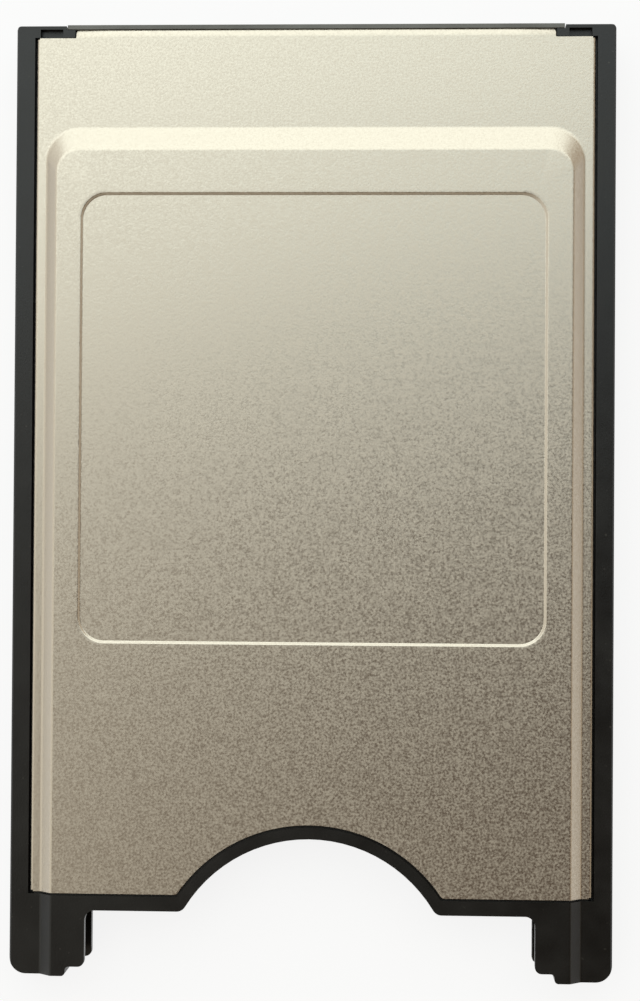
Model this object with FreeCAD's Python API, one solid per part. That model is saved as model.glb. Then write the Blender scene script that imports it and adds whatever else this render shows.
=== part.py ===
import FreeCAD, Part
import math
import os

# A memory card adapter: a flat carrier for a laptop card slot that takes a smaller 50-pin memory card.
# Millimetres. X runs across, Y along, Z up. The adapter lies flat on its lower cover, the origin is in
# the middle of its footprint, the receptacle end faces +Y and the mouth for the memory card faces -Y.

# Host card slot format: 85.6 long and 54.0 wide, 3.3 thick at the rails and 5.0 over the covers. The
# width and the full thickness are worked out below from what the adapter has to hold.
CARD_LENGTH = 85.6
RAIL_THICKNESS = 3.3
FRONT_CORNER_RADIUS = 0.4
LEG_TIP_RADIUS = 1.5
RAIL_EDGE_CHAMFER = 0.15

# Memory card that slides in, with its running clearances
MEMORY_CARD_LENGTH = 36.4
MEMORY_CARD_WIDTH = 42.8
MEMORY_CARD_THICKNESS = 3.3
MEMORY_CARD_SETBACK = 0.4
SLOT_SIDE_CLEARANCE = 0.2
SLOT_FACE_CLEARANCE = 0.1
SLOT_WALL = 3.25
LIP_THICKNESS = 0.75

# Stamped covers
SHEET_THICKNESS = 0.2
RAIL_WIDTH = 1.65
SKIRT_CLEARANCE = 0.15
SKIRT_DEPTH = 0.75
SKIRT_END_GAP = 0.12
SKIRT_BEND_RADIUS = 0.3
SKIRT_BEND_STEPS = 3
SIDE_SHELF_WIDTH = 1.0
SIDE_SLOPE_RUN = 1.0
SIDE_BEND_RADIUS = 0.4
FRONT_SHELF_LENGTH = 9.4
FRONT_SLOPE_RUN = 2.0
FRONT_BEND_RADIUS = 0.8
BEND_SHARES = (0.0, 0.025, 0.1)
RAISED_FOOT_CORNER = 3.0
RAISED_TOP_CORNER = 2.1
COVER_REAR_SETBACK = 7.4
COVER_NOTCH_EDGE_RADIUS = 0.4
TONGUE_POST_GAP = 0.9
TONGUE_SETBACK = 0.44
TONGUE_LENGTH = 0.76
TONGUE_ROLL_DROP = 0.12
RECESS_SIDE_MARGIN = 2.24
RECESS_FRONT_MARGIN = 3.9
RECESS_LENGTH = 40.5
RECESS_DEPTH = 0.15
RECESS_WALL_RUN = 0.28
RECESS_CORNER = 2.4

# Mouth lips, finger notch and legs of the frame
LIP_WIDTH = 1.5
LIP_GAP = 0.2
LIP_UNDERLAP = 1.2
COVER_CLEARANCE = 0.05
UNDER_SLOPE_CLEARANCE = 0.1
NOTCH_RADIUS = 13.0
NOTCH_RIM_WIDTH = 1.25
NOTCH_CENTRE_OFFSET = 0.5
NOTCH_EDGE_RADIUS = 0.9
LEG_ROOT_RADIUS = 0.9
GUIDE_PLATE_WIDTH = 1.5
TIP_STEP_LENGTH = 0.85
TIP_STEP_MARGIN = 0.24
TIP_STEP_RADIUS = 0.35
TIP_CORNER_RADIUS = 0.6
LEAD_IN_LENGTH = 1.2
LEAD_IN_RISE = 0.3
KEY_RIB_DEPTH = 0.7
KEY_RIB_LENGTH = 22.0
KEY_RIB_HEIGHT_LEFT = 0.9
KEY_RIB_HEIGHT_RIGHT = 1.5
KEY_RIB_SETBACK = 1.0
GUIDE_PLATE_GAP = 0.3

# Frame inside the covers
GROOVE_FLOOR_CLEARANCE = 0.1
SHOULDER_LENGTH = 5.1
LEDGE_WIDTH = 1.0
POST_WIDTH = 4.5
POST_SETBACK = 0.1
POST_COVER_GAP = 0.05
POST_WALL = 0.3
POST_POCKET_DEPTH = 0.6
HOLD_TAB_THICKNESS = 0.5
HOLD_TAB_GAP = 0.1
HOLD_TAB_CLEARANCE = 0.05
GUIDE_RIB_DEPTH = 0.5
GUIDE_RIB_HEIGHT = 0.6
GUIDE_RIB_CLEARANCE = 0.05
SNAP_COUNT = 6
SNAP_END_MARGIN = 5.0
TOOTH_LENGTH = 1.6
TOOTH_DEPTH = 0.27
TOOTH_HEIGHT = 0.25
WINDOW_CLEARANCE = 0.2
WINDOW_STRIP = 0.12

# Keying slots of the host end
KEY_SLOT_LENGTH = 10.5
KEY_SLOT_DEPTH = 1.0
KEY_SLOT_HEIGHT = 1.6
KEY_STEP_HEIGHT = 2.1

# Host receptacle: two rows of sockets
PITCH = 1.27
ROW_SPACING = 1.27
HOST_COLUMNS = 34
HOST_DEPTH = 8.0
HOST_END_WALL = 1.445
HOST_LIP_GAP = 0.04
HOST_SIDE_GAP = 0.1
HOST_EAR_WIDTH = 2.25
HOST_EAR_LENGTH = 5.0
CAVITY_WIDTH = 0.7
CAVITY_HEIGHT = 0.72
CAVITY_LEAD_IN = 0.12
CONTACT_WIDTH = 0.4
CONTACT_STOCK = 0.2
CONTACT_ROOT_HEIGHT = 0.3
CONTACT_SETBACK = 1.1
CONTACT_BEAM_LENGTH = 4.3
CONTACT_THROAT = 0.32
TAIL_LENGTH = 2.4

# Header for the memory card: two rows of pins
HEADER_COLUMNS = 25
HEADER_DEPTH = 3.8
HEADER_SIDE_GAP = 0.2
HEADER_EAR_WIDTH = 1.8
HEADER_EAR_LENGTH = 1.7
HEADER_EAR_SETBACK = 1.3
HEADER_EAR_HEIGHT = 2.6
EAR_CLEARANCE = 0.05
PIN_SIZE = 0.38
PIN_HOLE_CLEARANCE = 0.01
PIN_TAPER = 0.5
PIN_TIP_SIZE = 0.16
LONG_PIN_LENGTH = 5.0
SIGNAL_PIN_LENGTH = 4.25
SHORT_PIN_LENGTH = 3.5

# Circuit board, its chips and the insulating films
BOARD_THICKNESS = 0.8
BOARD_SIDE_CLEARANCE = 0.2
BOARD_END_GAP = 0.5
BOARD_TONGUE_MARGIN = 1.5
CHIP_CAP_LENGTH = 0.5
CHIP_CAP_STEP = 0.04
CAPACITOR_LENGTH = 3.2
CAPACITOR_WIDTH = 1.6
CAPACITOR_HEIGHT = 1.1
CAPACITOR_X = 12.0
RESISTOR_LENGTH = 2.0
RESISTOR_WIDTH = 1.25
RESISTOR_HEIGHT = 0.5
RESISTOR_X = 6.0
CHIP_ROW_SETBACK = 6.0
FILM_THICKNESS = 0.1
FILM_MARGIN = 1.2
FILM_REAR_MARGIN = 1.0

# Places worked out from the sizes above
FRONT_Y = CARD_LENGTH / 2
REAR_Y = -CARD_LENGTH / 2
SLOT_HALF_WIDTH = MEMORY_CARD_WIDTH / 2 + SLOT_SIDE_CLEARANCE
SLOT_HALF_HEIGHT = MEMORY_CARD_THICKNESS / 2 + SLOT_FACE_CLEARANCE
HOST_HALF_WIDTH = (HOST_COLUMNS - 1) * PITCH / 2 + HOST_END_WALL
HEADER_HALF_SPAN = (HEADER_COLUMNS - 1) * PITCH / 2

# The adapter is as wide as the wider of its two ends needs, and as thick as the card between its lips
GROOVE_WIDTH = SHEET_THICKNESS + 2 * SKIRT_CLEARANCE
POST_INNER_X = HOST_HALF_WIDTH + HOST_SIDE_GAP
SIDE_X = max(SLOT_HALF_WIDTH + SLOT_WALL + GROOVE_WIDTH + RAIL_WIDTH, POST_INNER_X + POST_WIDTH)
MID_Z = SLOT_HALF_HEIGHT + LIP_THICKNESS
BODY_THICKNESS = 2 * MID_Z
SLOT_TOP = MID_Z + SLOT_HALF_HEIGHT
RAIL_TOP = MID_Z + RAIL_THICKNESS / 2
LEDGE_TOP = RAIL_TOP - SHEET_THICKNESS
RAISED_HEIGHT = BODY_THICKNESS - RAIL_TOP
UNDER_TOP = BODY_THICKNESS - SHEET_THICKNESS - COVER_CLEARANCE

GROOVE_OUTER_X = SIDE_X - RAIL_WIDTH
COVER_SIDE_X = GROOVE_OUTER_X - SKIRT_CLEARANCE
GROOVE_INNER_X = GROOVE_OUTER_X - GROOVE_WIDTH
GROOVE_FLOOR = RAIL_TOP - SKIRT_DEPTH - GROOVE_FLOOR_CLEARANCE
SLOPE_FOOT_X = COVER_SIDE_X - SIDE_SHELF_WIDTH
SLOPE_FOOT_Y = FRONT_Y - FRONT_SHELF_LENGTH
RAISED_FRONT_Y = SLOPE_FOOT_Y - FRONT_SLOPE_RUN

RAISED_SIDE_X = SLOPE_FOOT_X - SIDE_SLOPE_RUN
RECESS_HALF_WIDTH = RAISED_SIDE_X - RECESS_SIDE_MARGIN
LEG_INNER_X = SLOT_HALF_WIDTH - GUIDE_PLATE_WIDTH

COVER_REAR_Y = REAR_Y + COVER_REAR_SETBACK
LIP_REAR_Y = COVER_REAR_Y - LIP_WIDTH
LIP_FRONT_Y = COVER_REAR_Y - LIP_GAP
NOTCH_CENTRE_Y = REAR_Y - NOTCH_CENTRE_OFFSET
COVER_NOTCH_RADIUS = NOTCH_RADIUS + NOTCH_RIM_WIDTH

TONGUE_HALF_WIDTH = POST_INNER_X - TONGUE_POST_GAP
TONGUE_FRONT_Y = FRONT_Y - TONGUE_SETBACK
COVER_FRONT_Y = TONGUE_FRONT_Y - TONGUE_LENGTH
HOST_LIP_Y = TONGUE_FRONT_Y + HOST_LIP_GAP
HOLD_TAB_X = TONGUE_HALF_WIDTH + HOLD_TAB_GAP
POST_FRONT_Y = FRONT_Y - POST_SETBACK
POST_REAR_Y = COVER_FRONT_Y + POST_COVER_GAP
RECESS_FRONT_Y = RAISED_FRONT_Y - RECESS_FRONT_MARGIN
RECESS_REAR_Y = RECESS_FRONT_Y - RECESS_LENGTH

HOST_REAR_Y = FRONT_Y - HOST_DEPTH
HOST_EAR_X = HOST_HALF_WIDTH + HOST_EAR_WIDTH
HOST_EAR_REAR_Y = POST_REAR_Y - HOST_SIDE_GAP - HOST_EAR_LENGTH
HEADER_FACE_Y = REAR_Y + MEMORY_CARD_SETBACK + MEMORY_CARD_LENGTH
HEADER_REAR_Y = HEADER_FACE_Y + HEADER_DEPTH
HEADER_EAR_Y = HEADER_FACE_Y + HEADER_EAR_SETBACK
GUIDE_END_Y = RECESS_REAR_Y - GUIDE_PLATE_GAP
SHOULDER_END_Y = HEADER_FACE_Y + SHOULDER_LENGTH
POCKET_X = HOST_HALF_WIDTH + BOARD_SIDE_CLEARANCE
EAR_ZONE_Y = HOST_EAR_REAR_Y - HOST_SIDE_GAP

BOARD_TOP = MID_Z + BOARD_THICKNESS / 2
BOARD_REAR_Y = HEADER_REAR_Y + BOARD_END_GAP
BOARD_FRONT_Y = HOST_REAR_Y - BOARD_END_GAP

# Cutters reach this far past what they cut, and points this close count as one place
BEYOND = 1.0
SAME_PLACE = 1e-3


def vector(x, y, z):
    return FreeCAD.Vector(x, y, z)


def span(a, b):
    return (min(a, b), max(a, b))


def block(xs, ys, zs):
    """A rectangular block from its spans along X, Y and Z."""
    size = [end - start for start, end in (xs, ys, zs)]
    return Part.makeBox(*size, vector(xs[0], ys[0], zs[0]))


def prism(points, start, length):
    """A solid from a closed outline of points, pushed along a vector."""
    placed = [p + start for p in points]
    return Part.Face(Part.makePolygon(placed + placed[:1])).extrude(length)


def along_x(profile, xs):
    """A solid from a (y, z) profile."""
    return prism([vector(0, y, z) for y, z in profile], vector(xs[0], 0, 0), vector(xs[1] - xs[0], 0, 0))


def along_y(profile, ys):
    """A solid from an (x, z) profile."""
    return prism([vector(x, 0, z) for x, z in profile], vector(0, ys[0], 0), vector(0, ys[1] - ys[0], 0))


def along_z(profile, zs):
    """A solid from an (x, y) outline."""
    return prism([vector(x, y, 0) for x, y in profile], vector(0, 0, zs[0]), vector(0, 0, zs[1] - zs[0]))


def disc(radius, centre_y, zs):
    return Part.makeCylinder(radius, zs[1] - zs[0], vector(0, centre_y, zs[0]))


def mirrored_left(shape):
    return shape.mirror(vector(0, 0, 0), vector(1, 0, 0))


def mirrored_down(shape):
    return shape.mirror(vector(0, 0, MID_Z), vector(0, 0, 1))


def turned_over(shape):
    """The shape turned over about the long axis through the middle of the thickness."""
    copy = shape.copy()
    copy.rotate(vector(0, 0, MID_Z), vector(0, 1, 0), 180)
    return copy


def joined(shapes):
    return shapes[0].multiFuse(shapes[1:]).removeSplitter()


def both_halves(chain):
    """A closed profile from its upper half, repeated upside down below the middle of the thickness."""
    return chain + [(across, 2 * MID_Z - up) for across, up in reversed(chain)]


def upright_edges(shape, x, y):
    """Edges that stand upright at (x, y) or at its mirror point."""
    found = []
    for edge in shape.Edges:
        middle = edge.CenterOfMass
        upright = edge.BoundBox.XLength + edge.BoundBox.YLength < SAME_PLACE
        if upright and abs(abs(middle.x) - x) < SAME_PLACE and abs(middle.y - y) < SAME_PLACE:
            found.append(edge)
    return found


def slope_position(height, rise, run, foot_radius, top_radius):
    """How far in from its foot a stamped slope reaches a height, with a round bend at foot and top."""
    turn = math.atan2(rise, run)
    foot_tangent = foot_radius * math.tan(turn / 2)
    top_tangent = top_radius * math.tan(turn / 2)
    if height < foot_tangent * math.sin(turn):
        return -foot_tangent + math.sqrt(foot_radius**2 - (foot_radius - height) ** 2)
    from_top = rise - height
    if from_top < top_tangent * math.sin(turn):
        return run + top_tangent - math.sqrt(top_radius**2 - (top_radius - from_top) ** 2)
    return height / math.tan(turn)


def slope_levels():
    """Shares of the rise at which the slope's sections are taken: close together in the bends."""
    return list(BEND_SHARES) + [1 - share for share in reversed(BEND_SHARES)]


def inward_shift(rise, run):
    """How far a bend's inner line lies inside its outer one, because the sheet has a thickness."""
    return SHEET_THICKNESS * math.tan(math.atan2(rise, run) / 2)


def arc(centre_x, centre_y, radius, start, end, z):
    """An arc in plan between two angles in degrees."""
    angles = [math.radians(a) for a in (start, (start + end) / 2, end)]
    points = [vector(centre_x + radius * math.cos(a), centre_y + radius * math.sin(a), z) for a in angles]
    return Part.Arc(*points).toShape()


def line(a, b):
    return Part.LineSegment(a, b).toShape()


def raised_outline(half_width, front_y, corner, z):
    """Plan of the raised area at one height: two round front corners, open past the rear edge."""
    rear_y = COVER_REAR_Y - BEYOND
    flat_x = half_width - corner
    flat_y = front_y - corner
    return Part.Wire([
        line(vector(-half_width, rear_y, z), vector(half_width, rear_y, z)),
        line(vector(half_width, rear_y, z), vector(half_width, flat_y, z)),
        arc(flat_x, flat_y, corner, 0, 90, z),
        line(vector(flat_x, front_y, z), vector(-flat_x, front_y, z)),
        arc(-flat_x, flat_y, corner, 90, 180, z),
        line(vector(-half_width, flat_y, z), vector(-half_width, rear_y, z)),
    ])


def recess_outline(inset, z):
    """Plan of the label recess at one height, inset from its outline."""
    half_width = RECESS_HALF_WIDTH - inset
    front_y = RECESS_FRONT_Y - inset
    rear_y = RECESS_REAR_Y + inset
    corner = RECESS_CORNER - inset
    flat_x = half_width - corner
    return Part.Wire([
        line(vector(-flat_x, rear_y, z), vector(flat_x, rear_y, z)),
        arc(flat_x, rear_y + corner, corner, 270, 360, z),
        line(vector(half_width, rear_y + corner, z), vector(half_width, front_y - corner, z)),
        arc(flat_x, front_y - corner, corner, 0, 90, z),
        line(vector(flat_x, front_y, z), vector(-flat_x, front_y, z)),
        arc(-flat_x, front_y - corner, corner, 90, 180, z),
        line(vector(-half_width, front_y - corner, z), vector(-half_width, rear_y + corner, z)),
        arc(-flat_x, rear_y + corner, corner, 180, 270, z),
    ])


def raised_form(base_z, side_radii, front_radii, side_shift, front_shift):
    """The stamped plateau as a solid, from its foot at base_z up to the raised height above it."""
    outlines = []
    for share in slope_levels():
        height = share * RAISED_HEIGHT
        side = side_shift + slope_position(height, RAISED_HEIGHT, SIDE_SLOPE_RUN, *side_radii)
        front = front_shift + slope_position(height, RAISED_HEIGHT, FRONT_SLOPE_RUN, *front_radii)
        corner = RAISED_FOOT_CORNER + share * (RAISED_TOP_CORNER - RAISED_FOOT_CORNER)
        outline = raised_outline(SLOPE_FOOT_X - side, SLOPE_FOOT_Y - front, corner, base_z + height)
        outlines.append(outline)
    return Part.makeLoft(outlines, True, True)


def outer_raised_form():
    side_radii = (SIDE_BEND_RADIUS, SIDE_BEND_RADIUS)
    front_radii = (FRONT_BEND_RADIUS, FRONT_BEND_RADIUS)
    return raised_form(RAIL_TOP, side_radii, front_radii, 0.0, 0.0)


def inner_raised_form():
    side_radii = (SIDE_BEND_RADIUS + SHEET_THICKNESS, SIDE_BEND_RADIUS - SHEET_THICKNESS)
    front_radii = (FRONT_BEND_RADIUS + SHEET_THICKNESS, FRONT_BEND_RADIUS - SHEET_THICKNESS)
    side_shift = inward_shift(RAISED_HEIGHT, SIDE_SLOPE_RUN)
    front_shift = inward_shift(RAISED_HEIGHT, FRONT_SLOPE_RUN)
    return raised_form(LEDGE_TOP, side_radii, front_radii, side_shift, front_shift)


def skirt_profile():
    """Section of the cover's edge: flat flange, round bend and short skirt."""
    inner_radius = SKIRT_BEND_RADIUS - SHEET_THICKNESS
    flat_x = COVER_SIDE_X - SKIRT_BEND_RADIUS
    centre_z = RAIL_TOP - SKIRT_BEND_RADIUS
    quarter = [math.pi / 2 * (1 - step / SKIRT_BEND_STEPS) for step in range(SKIRT_BEND_STEPS + 1)]
    turns = [(math.cos(angle), math.sin(angle)) for angle in quarter]
    outer = [(flat_x + SKIRT_BEND_RADIUS * x, centre_z + SKIRT_BEND_RADIUS * z) for x, z in turns]
    inner = [(flat_x + inner_radius * x, centre_z + inner_radius * z) for x, z in turns]
    bottom_z = RAIL_TOP - SKIRT_DEPTH
    foot = [(COVER_SIDE_X, bottom_z), (COVER_SIDE_X - SHEET_THICKNESS, bottom_z)]
    return outer + foot + inner[::-1]


def snap_places():
    """Middles of the snap teeth along the frame."""
    first = COVER_REAR_Y + SNAP_END_MARGIN
    last = EAR_ZONE_Y - SNAP_END_MARGIN
    return [first + (last - first) * index / (SNAP_COUNT - 1) for index in range(SNAP_COUNT)]


def snap_window(y):
    """The hole in the right-hand skirt that a snap tooth stands in."""
    half_length = TOOTH_LENGTH / 2 + WINDOW_CLEARANCE
    bottom_z = RAIL_TOP - SKIRT_DEPTH + WINDOW_STRIP
    xs = (COVER_SIDE_X - SHEET_THICKNESS - COVER_CLEARANCE, COVER_SIDE_X + BEYOND)
    zs = (bottom_z, bottom_z + TOOTH_HEIGHT + 2 * COVER_CLEARANCE)
    return block(xs, (y - half_length, y + half_length), zs)


def rear_cutter(radius, rear_y, half_width, edge_radius, corner_radius):
    """What the mouth takes away in plan: the space between the legs and the finger notch ahead of it."""
    zs = (-BEYOND, BODY_THICKNESS + BEYOND)
    space = block((-half_width, half_width), (REAR_Y - 2 * BEYOND, rear_y), zs)
    if corner_radius > 0:
        space = space.makeFillet(corner_radius, upright_edges(space, half_width, rear_y))
    cutter = space.fuse(disc(radius, NOTCH_CENTRE_Y, zs))
    behind = block((-SIDE_X, SIDE_X), (NOTCH_CENTRE_Y - 2 * radius, REAR_Y - BEYOND), zs)
    cutter = cutter.cut(behind)
    meeting_x = math.sqrt(radius**2 - (rear_y - NOTCH_CENTRE_Y) ** 2)
    return cutter.makeFillet(edge_radius, upright_edges(cutter, meeting_x, rear_y))


def upper_cover():
    """Upper cover, stamped from one sheet, embossed and bent down at both sides."""
    slab_x = COVER_SIDE_X - SKIRT_BEND_RADIUS
    slab = block((-slab_x, slab_x), (COVER_REAR_Y, COVER_FRONT_Y), (LEDGE_TOP, RAIL_TOP))
    rolled = TONGUE_ROLL_DROP
    tongue_profile = [
        (COVER_FRONT_Y, RAIL_TOP),
        (TONGUE_FRONT_Y, RAIL_TOP - rolled),
        (TONGUE_FRONT_Y, LEDGE_TOP - rolled),
        (COVER_FRONT_Y, LEDGE_TOP),
    ]
    tongue = along_x(tongue_profile, (-TONGUE_HALF_WIDTH, TONGUE_HALF_WIDTH))
    skirt = along_y(skirt_profile(), (COVER_REAR_Y + SKIRT_END_GAP, COVER_FRONT_Y - SKIRT_END_GAP))
    skirt = skirt.cut(Part.makeCompound([snap_window(y) for y in snap_places()]))
    sheet = joined([slab, tongue, outer_raised_form(), skirt, mirrored_left(skirt)])
    recess_turn = inward_shift(RECESS_DEPTH, RECESS_WALL_RUN)
    inner_top = BODY_THICKNESS - SHEET_THICKNESS
    recess_back = Part.makeLoft([
        recess_outline(-recess_turn, inner_top),
        recess_outline(RECESS_WALL_RUN - recess_turn, inner_top - RECESS_DEPTH),
    ], True, True)
    recess = Part.makeLoft([
        recess_outline(0.0, BODY_THICKNESS),
        recess_outline(RECESS_WALL_RUN, BODY_THICKNESS - RECESS_DEPTH),
    ], True, True)
    hollow = inner_raised_form().cut(recess_back)
    mouth = rear_cutter(COVER_NOTCH_RADIUS, COVER_REAR_Y, SIDE_X, COVER_NOTCH_EDGE_RADIUS, 0.0)
    return sheet.cut(hollow).cut(recess).cut(mouth)


def lower_cover():
    """Lower cover, the same stamping turned over."""
    return turned_over(upper_cover())


def rail_chain():
    """Upper half of the side rail's section, from the skirt groove out."""
    return [(SIDE_X - RAIL_EDGE_CHAMFER, RAIL_TOP), (SIDE_X, RAIL_TOP - RAIL_EDGE_CHAMFER)]


def groove_chain():
    """Upper half of the section of the groove that the cover's skirt stands in."""
    return [
        (GROOVE_INNER_X, LEDGE_TOP),
        (GROOVE_INNER_X, GROOVE_FLOOR),
        (GROOVE_OUTER_X, GROOVE_FLOOR),
        (GROOVE_OUTER_X, RAIL_TOP),
    ]


def under_slope_chain():
    """Upper half of the section that stays just under the raised side of the cover."""
    low_x = SLOPE_FOOT_X - inward_shift(RAISED_HEIGHT, SIDE_SLOPE_RUN) - UNDER_SLOPE_CLEARANCE
    run = SIDE_SLOPE_RUN * (UNDER_TOP - LEDGE_TOP) / RAISED_HEIGHT
    return [(low_x - run, UNDER_TOP), (low_x, LEDGE_TOP)]


def leg_chain():
    """Upper half of a leg's section: full thickness inside, down to the rail by the cover's own slope."""
    slope = []
    for share in reversed(slope_levels()):
        height = share * RAISED_HEIGHT
        inset = slope_position(height, RAISED_HEIGHT, SIDE_SLOPE_RUN, SIDE_BEND_RADIUS, SIDE_BEND_RADIUS)
        slope.append((SLOPE_FOOT_X - inset, RAIL_TOP + height))
    inside = [(SLOT_HALF_WIDTH, SLOT_TOP), (LEG_INNER_X, SLOT_TOP), (LEG_INNER_X, BODY_THICKNESS)]
    return inside + slope + rail_chain()


def right_side():
    """The right-hand side of the frame, zone by zone from the leg to the front post."""
    under = under_slope_chain() + groove_chain() + rail_chain()
    guide = [(SLOT_HALF_WIDTH, SLOT_TOP), (LEG_INNER_X, SLOT_TOP), (LEG_INNER_X, UNDER_TOP)] + under
    shoulder = [(SLOT_HALF_WIDTH, UNDER_TOP)] + under
    pocket = [(POCKET_X, LEDGE_TOP)] + groove_chain() + rail_chain()
    ear_x = HOST_EAR_X + HOST_SIDE_GAP
    web = [(ear_x, GROOVE_FLOOR)] + groove_chain()[2:] + rail_chain()
    rib_top = MID_Z + GUIDE_RIB_HEIGHT / 2
    rib = [(POST_INNER_X - GUIDE_RIB_DEPTH, rib_top), (POST_INNER_X, rib_top)]
    post = rib + [(POST_INNER_X, RAIL_TOP)] + rail_chain()
    zones = [
        (leg_chain(), REAR_Y, LIP_FRONT_Y),
        (guide, LIP_FRONT_Y, GUIDE_END_Y),
        (shoulder, GUIDE_END_Y, SHOULDER_END_Y),
        (pocket, SHOULDER_END_Y, EAR_ZONE_Y),
        (web, EAR_ZONE_Y, POST_REAR_Y),
        (post, POST_REAR_Y, POST_FRONT_Y),
    ]
    return [along_y(both_halves(chain), (start, end)) for chain, start, end in zones]


def mouth_lip():
    """Upper lip of the mouth: a band level with the cover, and a step that goes under its edge."""
    half_width = LEG_INNER_X + GUIDE_PLATE_WIDTH / 2
    rim_radius = COVER_NOTCH_RADIUS - LIP_GAP
    seen = (SLOT_TOP, BODY_THICKNESS)
    under = (SLOT_TOP, UNDER_TOP)
    band = block((-half_width, half_width), (LIP_REAR_Y - LEG_ROOT_RADIUS, LIP_FRONT_Y), seen)
    step = block((-half_width, half_width), (LIP_FRONT_Y, COVER_REAR_Y + LIP_UNDERLAP), under)
    rim = disc(rim_radius, NOTCH_CENTRE_Y, seen)
    rim_step = disc(COVER_NOTCH_RADIUS + LIP_UNDERLAP, NOTCH_CENTRE_Y, under)
    return joined([band, step, rim, rim_step])


def key_rib(height):
    """Rib in the right-hand guide channel that lets the memory card in only one way up."""
    tip_x = SLOT_HALF_WIDTH - KEY_RIB_DEPTH
    end_y = HEADER_FACE_Y - KEY_RIB_SETBACK
    start_y = end_y - KEY_RIB_LENGTH
    outline = [
        (SLOT_HALF_WIDTH, start_y - KEY_RIB_DEPTH),
        (tip_x, start_y),
        (tip_x, end_y),
        (SLOT_HALF_WIDTH, end_y),
    ]
    return along_z(outline, (MID_Z - height / 2, MID_Z + height / 2))


def board_ledge():
    """Ledge in the right-hand side that the circuit board lies on."""
    low_z = MID_Z - (LEDGE_TOP - MID_Z)
    ys = (SHOULDER_END_Y, BOARD_FRONT_Y)
    return block((POCKET_X - LEDGE_WIDTH, POCKET_X), ys, (low_z, MID_Z - BOARD_THICKNESS / 2))


def snap_tooth(y):
    """Wedge on the groove's inner wall, flat below and sloped above, that holds the cover's skirt down."""
    low_z = RAIL_TOP - SKIRT_DEPTH + WINDOW_STRIP + COVER_CLEARANCE
    profile = [
        (GROOVE_INNER_X, low_z),
        (GROOVE_INNER_X + TOOTH_DEPTH, low_z),
        (GROOVE_INNER_X, low_z + TOOTH_HEIGHT),
    ]
    return along_y(profile, (y - TOOTH_LENGTH / 2, y + TOOTH_LENGTH / 2))


def header_pocket():
    """Pocket in the right-hand side, open at the top, for the header's ear."""
    ear_end = SLOT_HALF_WIDTH - HEADER_SIDE_GAP + HEADER_EAR_WIDTH + EAR_CLEARANCE
    ys = (HEADER_EAR_Y - EAR_CLEARANCE, HEADER_EAR_Y + HEADER_EAR_LENGTH + EAR_CLEARANCE)
    low_z = MID_Z - HEADER_EAR_HEIGHT / 2
    return block((SLOT_HALF_WIDTH - BEYOND, ear_end), ys, (low_z, BODY_THICKNESS))


def corner_trim(x, y, radius):
    """What rounds a right-hand leg's upright corner that points to the middle and the rear."""
    zs = (-BEYOND, BODY_THICKNESS + BEYOND)
    square = block((x - BEYOND, x + radius), (y - BEYOND, y + radius), zs)
    rest = block((x - BEYOND, x), (y, y + radius), zs).fuse(block((x, x + radius), (y - BEYOND, y), zs))
    kept = Part.makeCylinder(radius, zs[1] - zs[0], vector(x + radius, y + radius, zs[0]))
    return square.cut(rest).cut(kept)


def post_pocket():
    """Shallow pocket in the right-hand post's face, between its front wall and the cover's edge."""
    xs = (POST_INNER_X + POST_WALL, GROOVE_INNER_X)
    ys = (POST_REAR_Y - BEYOND, POST_FRONT_Y - POST_WALL)
    return block(xs, ys, (RAIL_TOP - POST_POCKET_DEPTH, RAIL_TOP + BEYOND))


def hold_tab():
    """Tab on the right-hand post, beside the cover's tongue, that holds the receptacle's end down."""
    ys = (POST_REAR_Y, HOST_LIP_Y - HOLD_TAB_CLEARANCE)
    return block((HOLD_TAB_X, POST_INNER_X), ys, (RAIL_TOP - HOLD_TAB_THICKNESS, RAIL_TOP))


def frame_cutters():
    """Mouth, tip steps, lead-ins, header pockets and the two different key slots."""
    mouth = rear_cutter(NOTCH_RADIUS, LIP_REAR_Y, LEG_INNER_X, NOTCH_EDGE_RADIUS, LEG_ROOT_RADIUS)
    step_x = SLOT_HALF_WIDTH + TIP_STEP_MARGIN
    full = (-BEYOND, BODY_THICKNESS + BEYOND)
    tip_y = REAR_Y + TIP_STEP_LENGTH
    tip_step = block((-step_x, step_x), (REAR_Y - BEYOND, tip_y), full)
    tip_step = tip_step.makeFillet(TIP_STEP_RADIUS, upright_edges(tip_step, step_x, tip_y))
    wide = SLOT_HALF_HEIGHT + LEAD_IN_RISE
    lead_starts = [(tip_y, SLOT_HALF_WIDTH), (LIP_REAR_Y, LEG_INNER_X)]
    lead_ins = []
    for start_y, half_width in lead_starts:
        end_y = start_y + LEAD_IN_LENGTH
        profile = [
            (start_y, MID_Z - wide),
            (start_y, MID_Z + wide),
            (end_y, MID_Z + SLOT_HALF_HEIGHT),
            (end_y, MID_Z - SLOT_HALF_HEIGHT),
        ]
        lead_ins.append(along_x(profile, (-half_width, half_width)))
    key_ys = (FRONT_Y - KEY_SLOT_LENGTH, FRONT_Y)
    left_key_zs = (MID_Z - KEY_SLOT_HEIGHT / 2, MID_Z + KEY_SLOT_HEIGHT / 2)
    left_key = block((-SIDE_X - BEYOND, -SIDE_X + KEY_SLOT_DEPTH), key_ys, left_key_zs)
    rail_bottom = MID_Z - RAIL_THICKNESS / 2
    right_key_zs = (rail_bottom - BEYOND, rail_bottom + KEY_STEP_HEIGHT)
    right_key = block((SIDE_X - KEY_SLOT_DEPTH, SIDE_X + BEYOND), key_ys, right_key_zs)
    trims = [corner_trim(LEG_INNER_X, tip_y, TIP_CORNER_RADIUS), corner_trim(step_x, REAR_Y, TIP_STEP_RADIUS)]
    handed = [header_pocket(), post_pocket(), mirrored_down(post_pocket())] + trims
    pairs = handed + [mirrored_left(cutter) for cutter in handed]
    return [mouth, tip_step, left_key, right_key] + lead_ins + pairs


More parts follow.
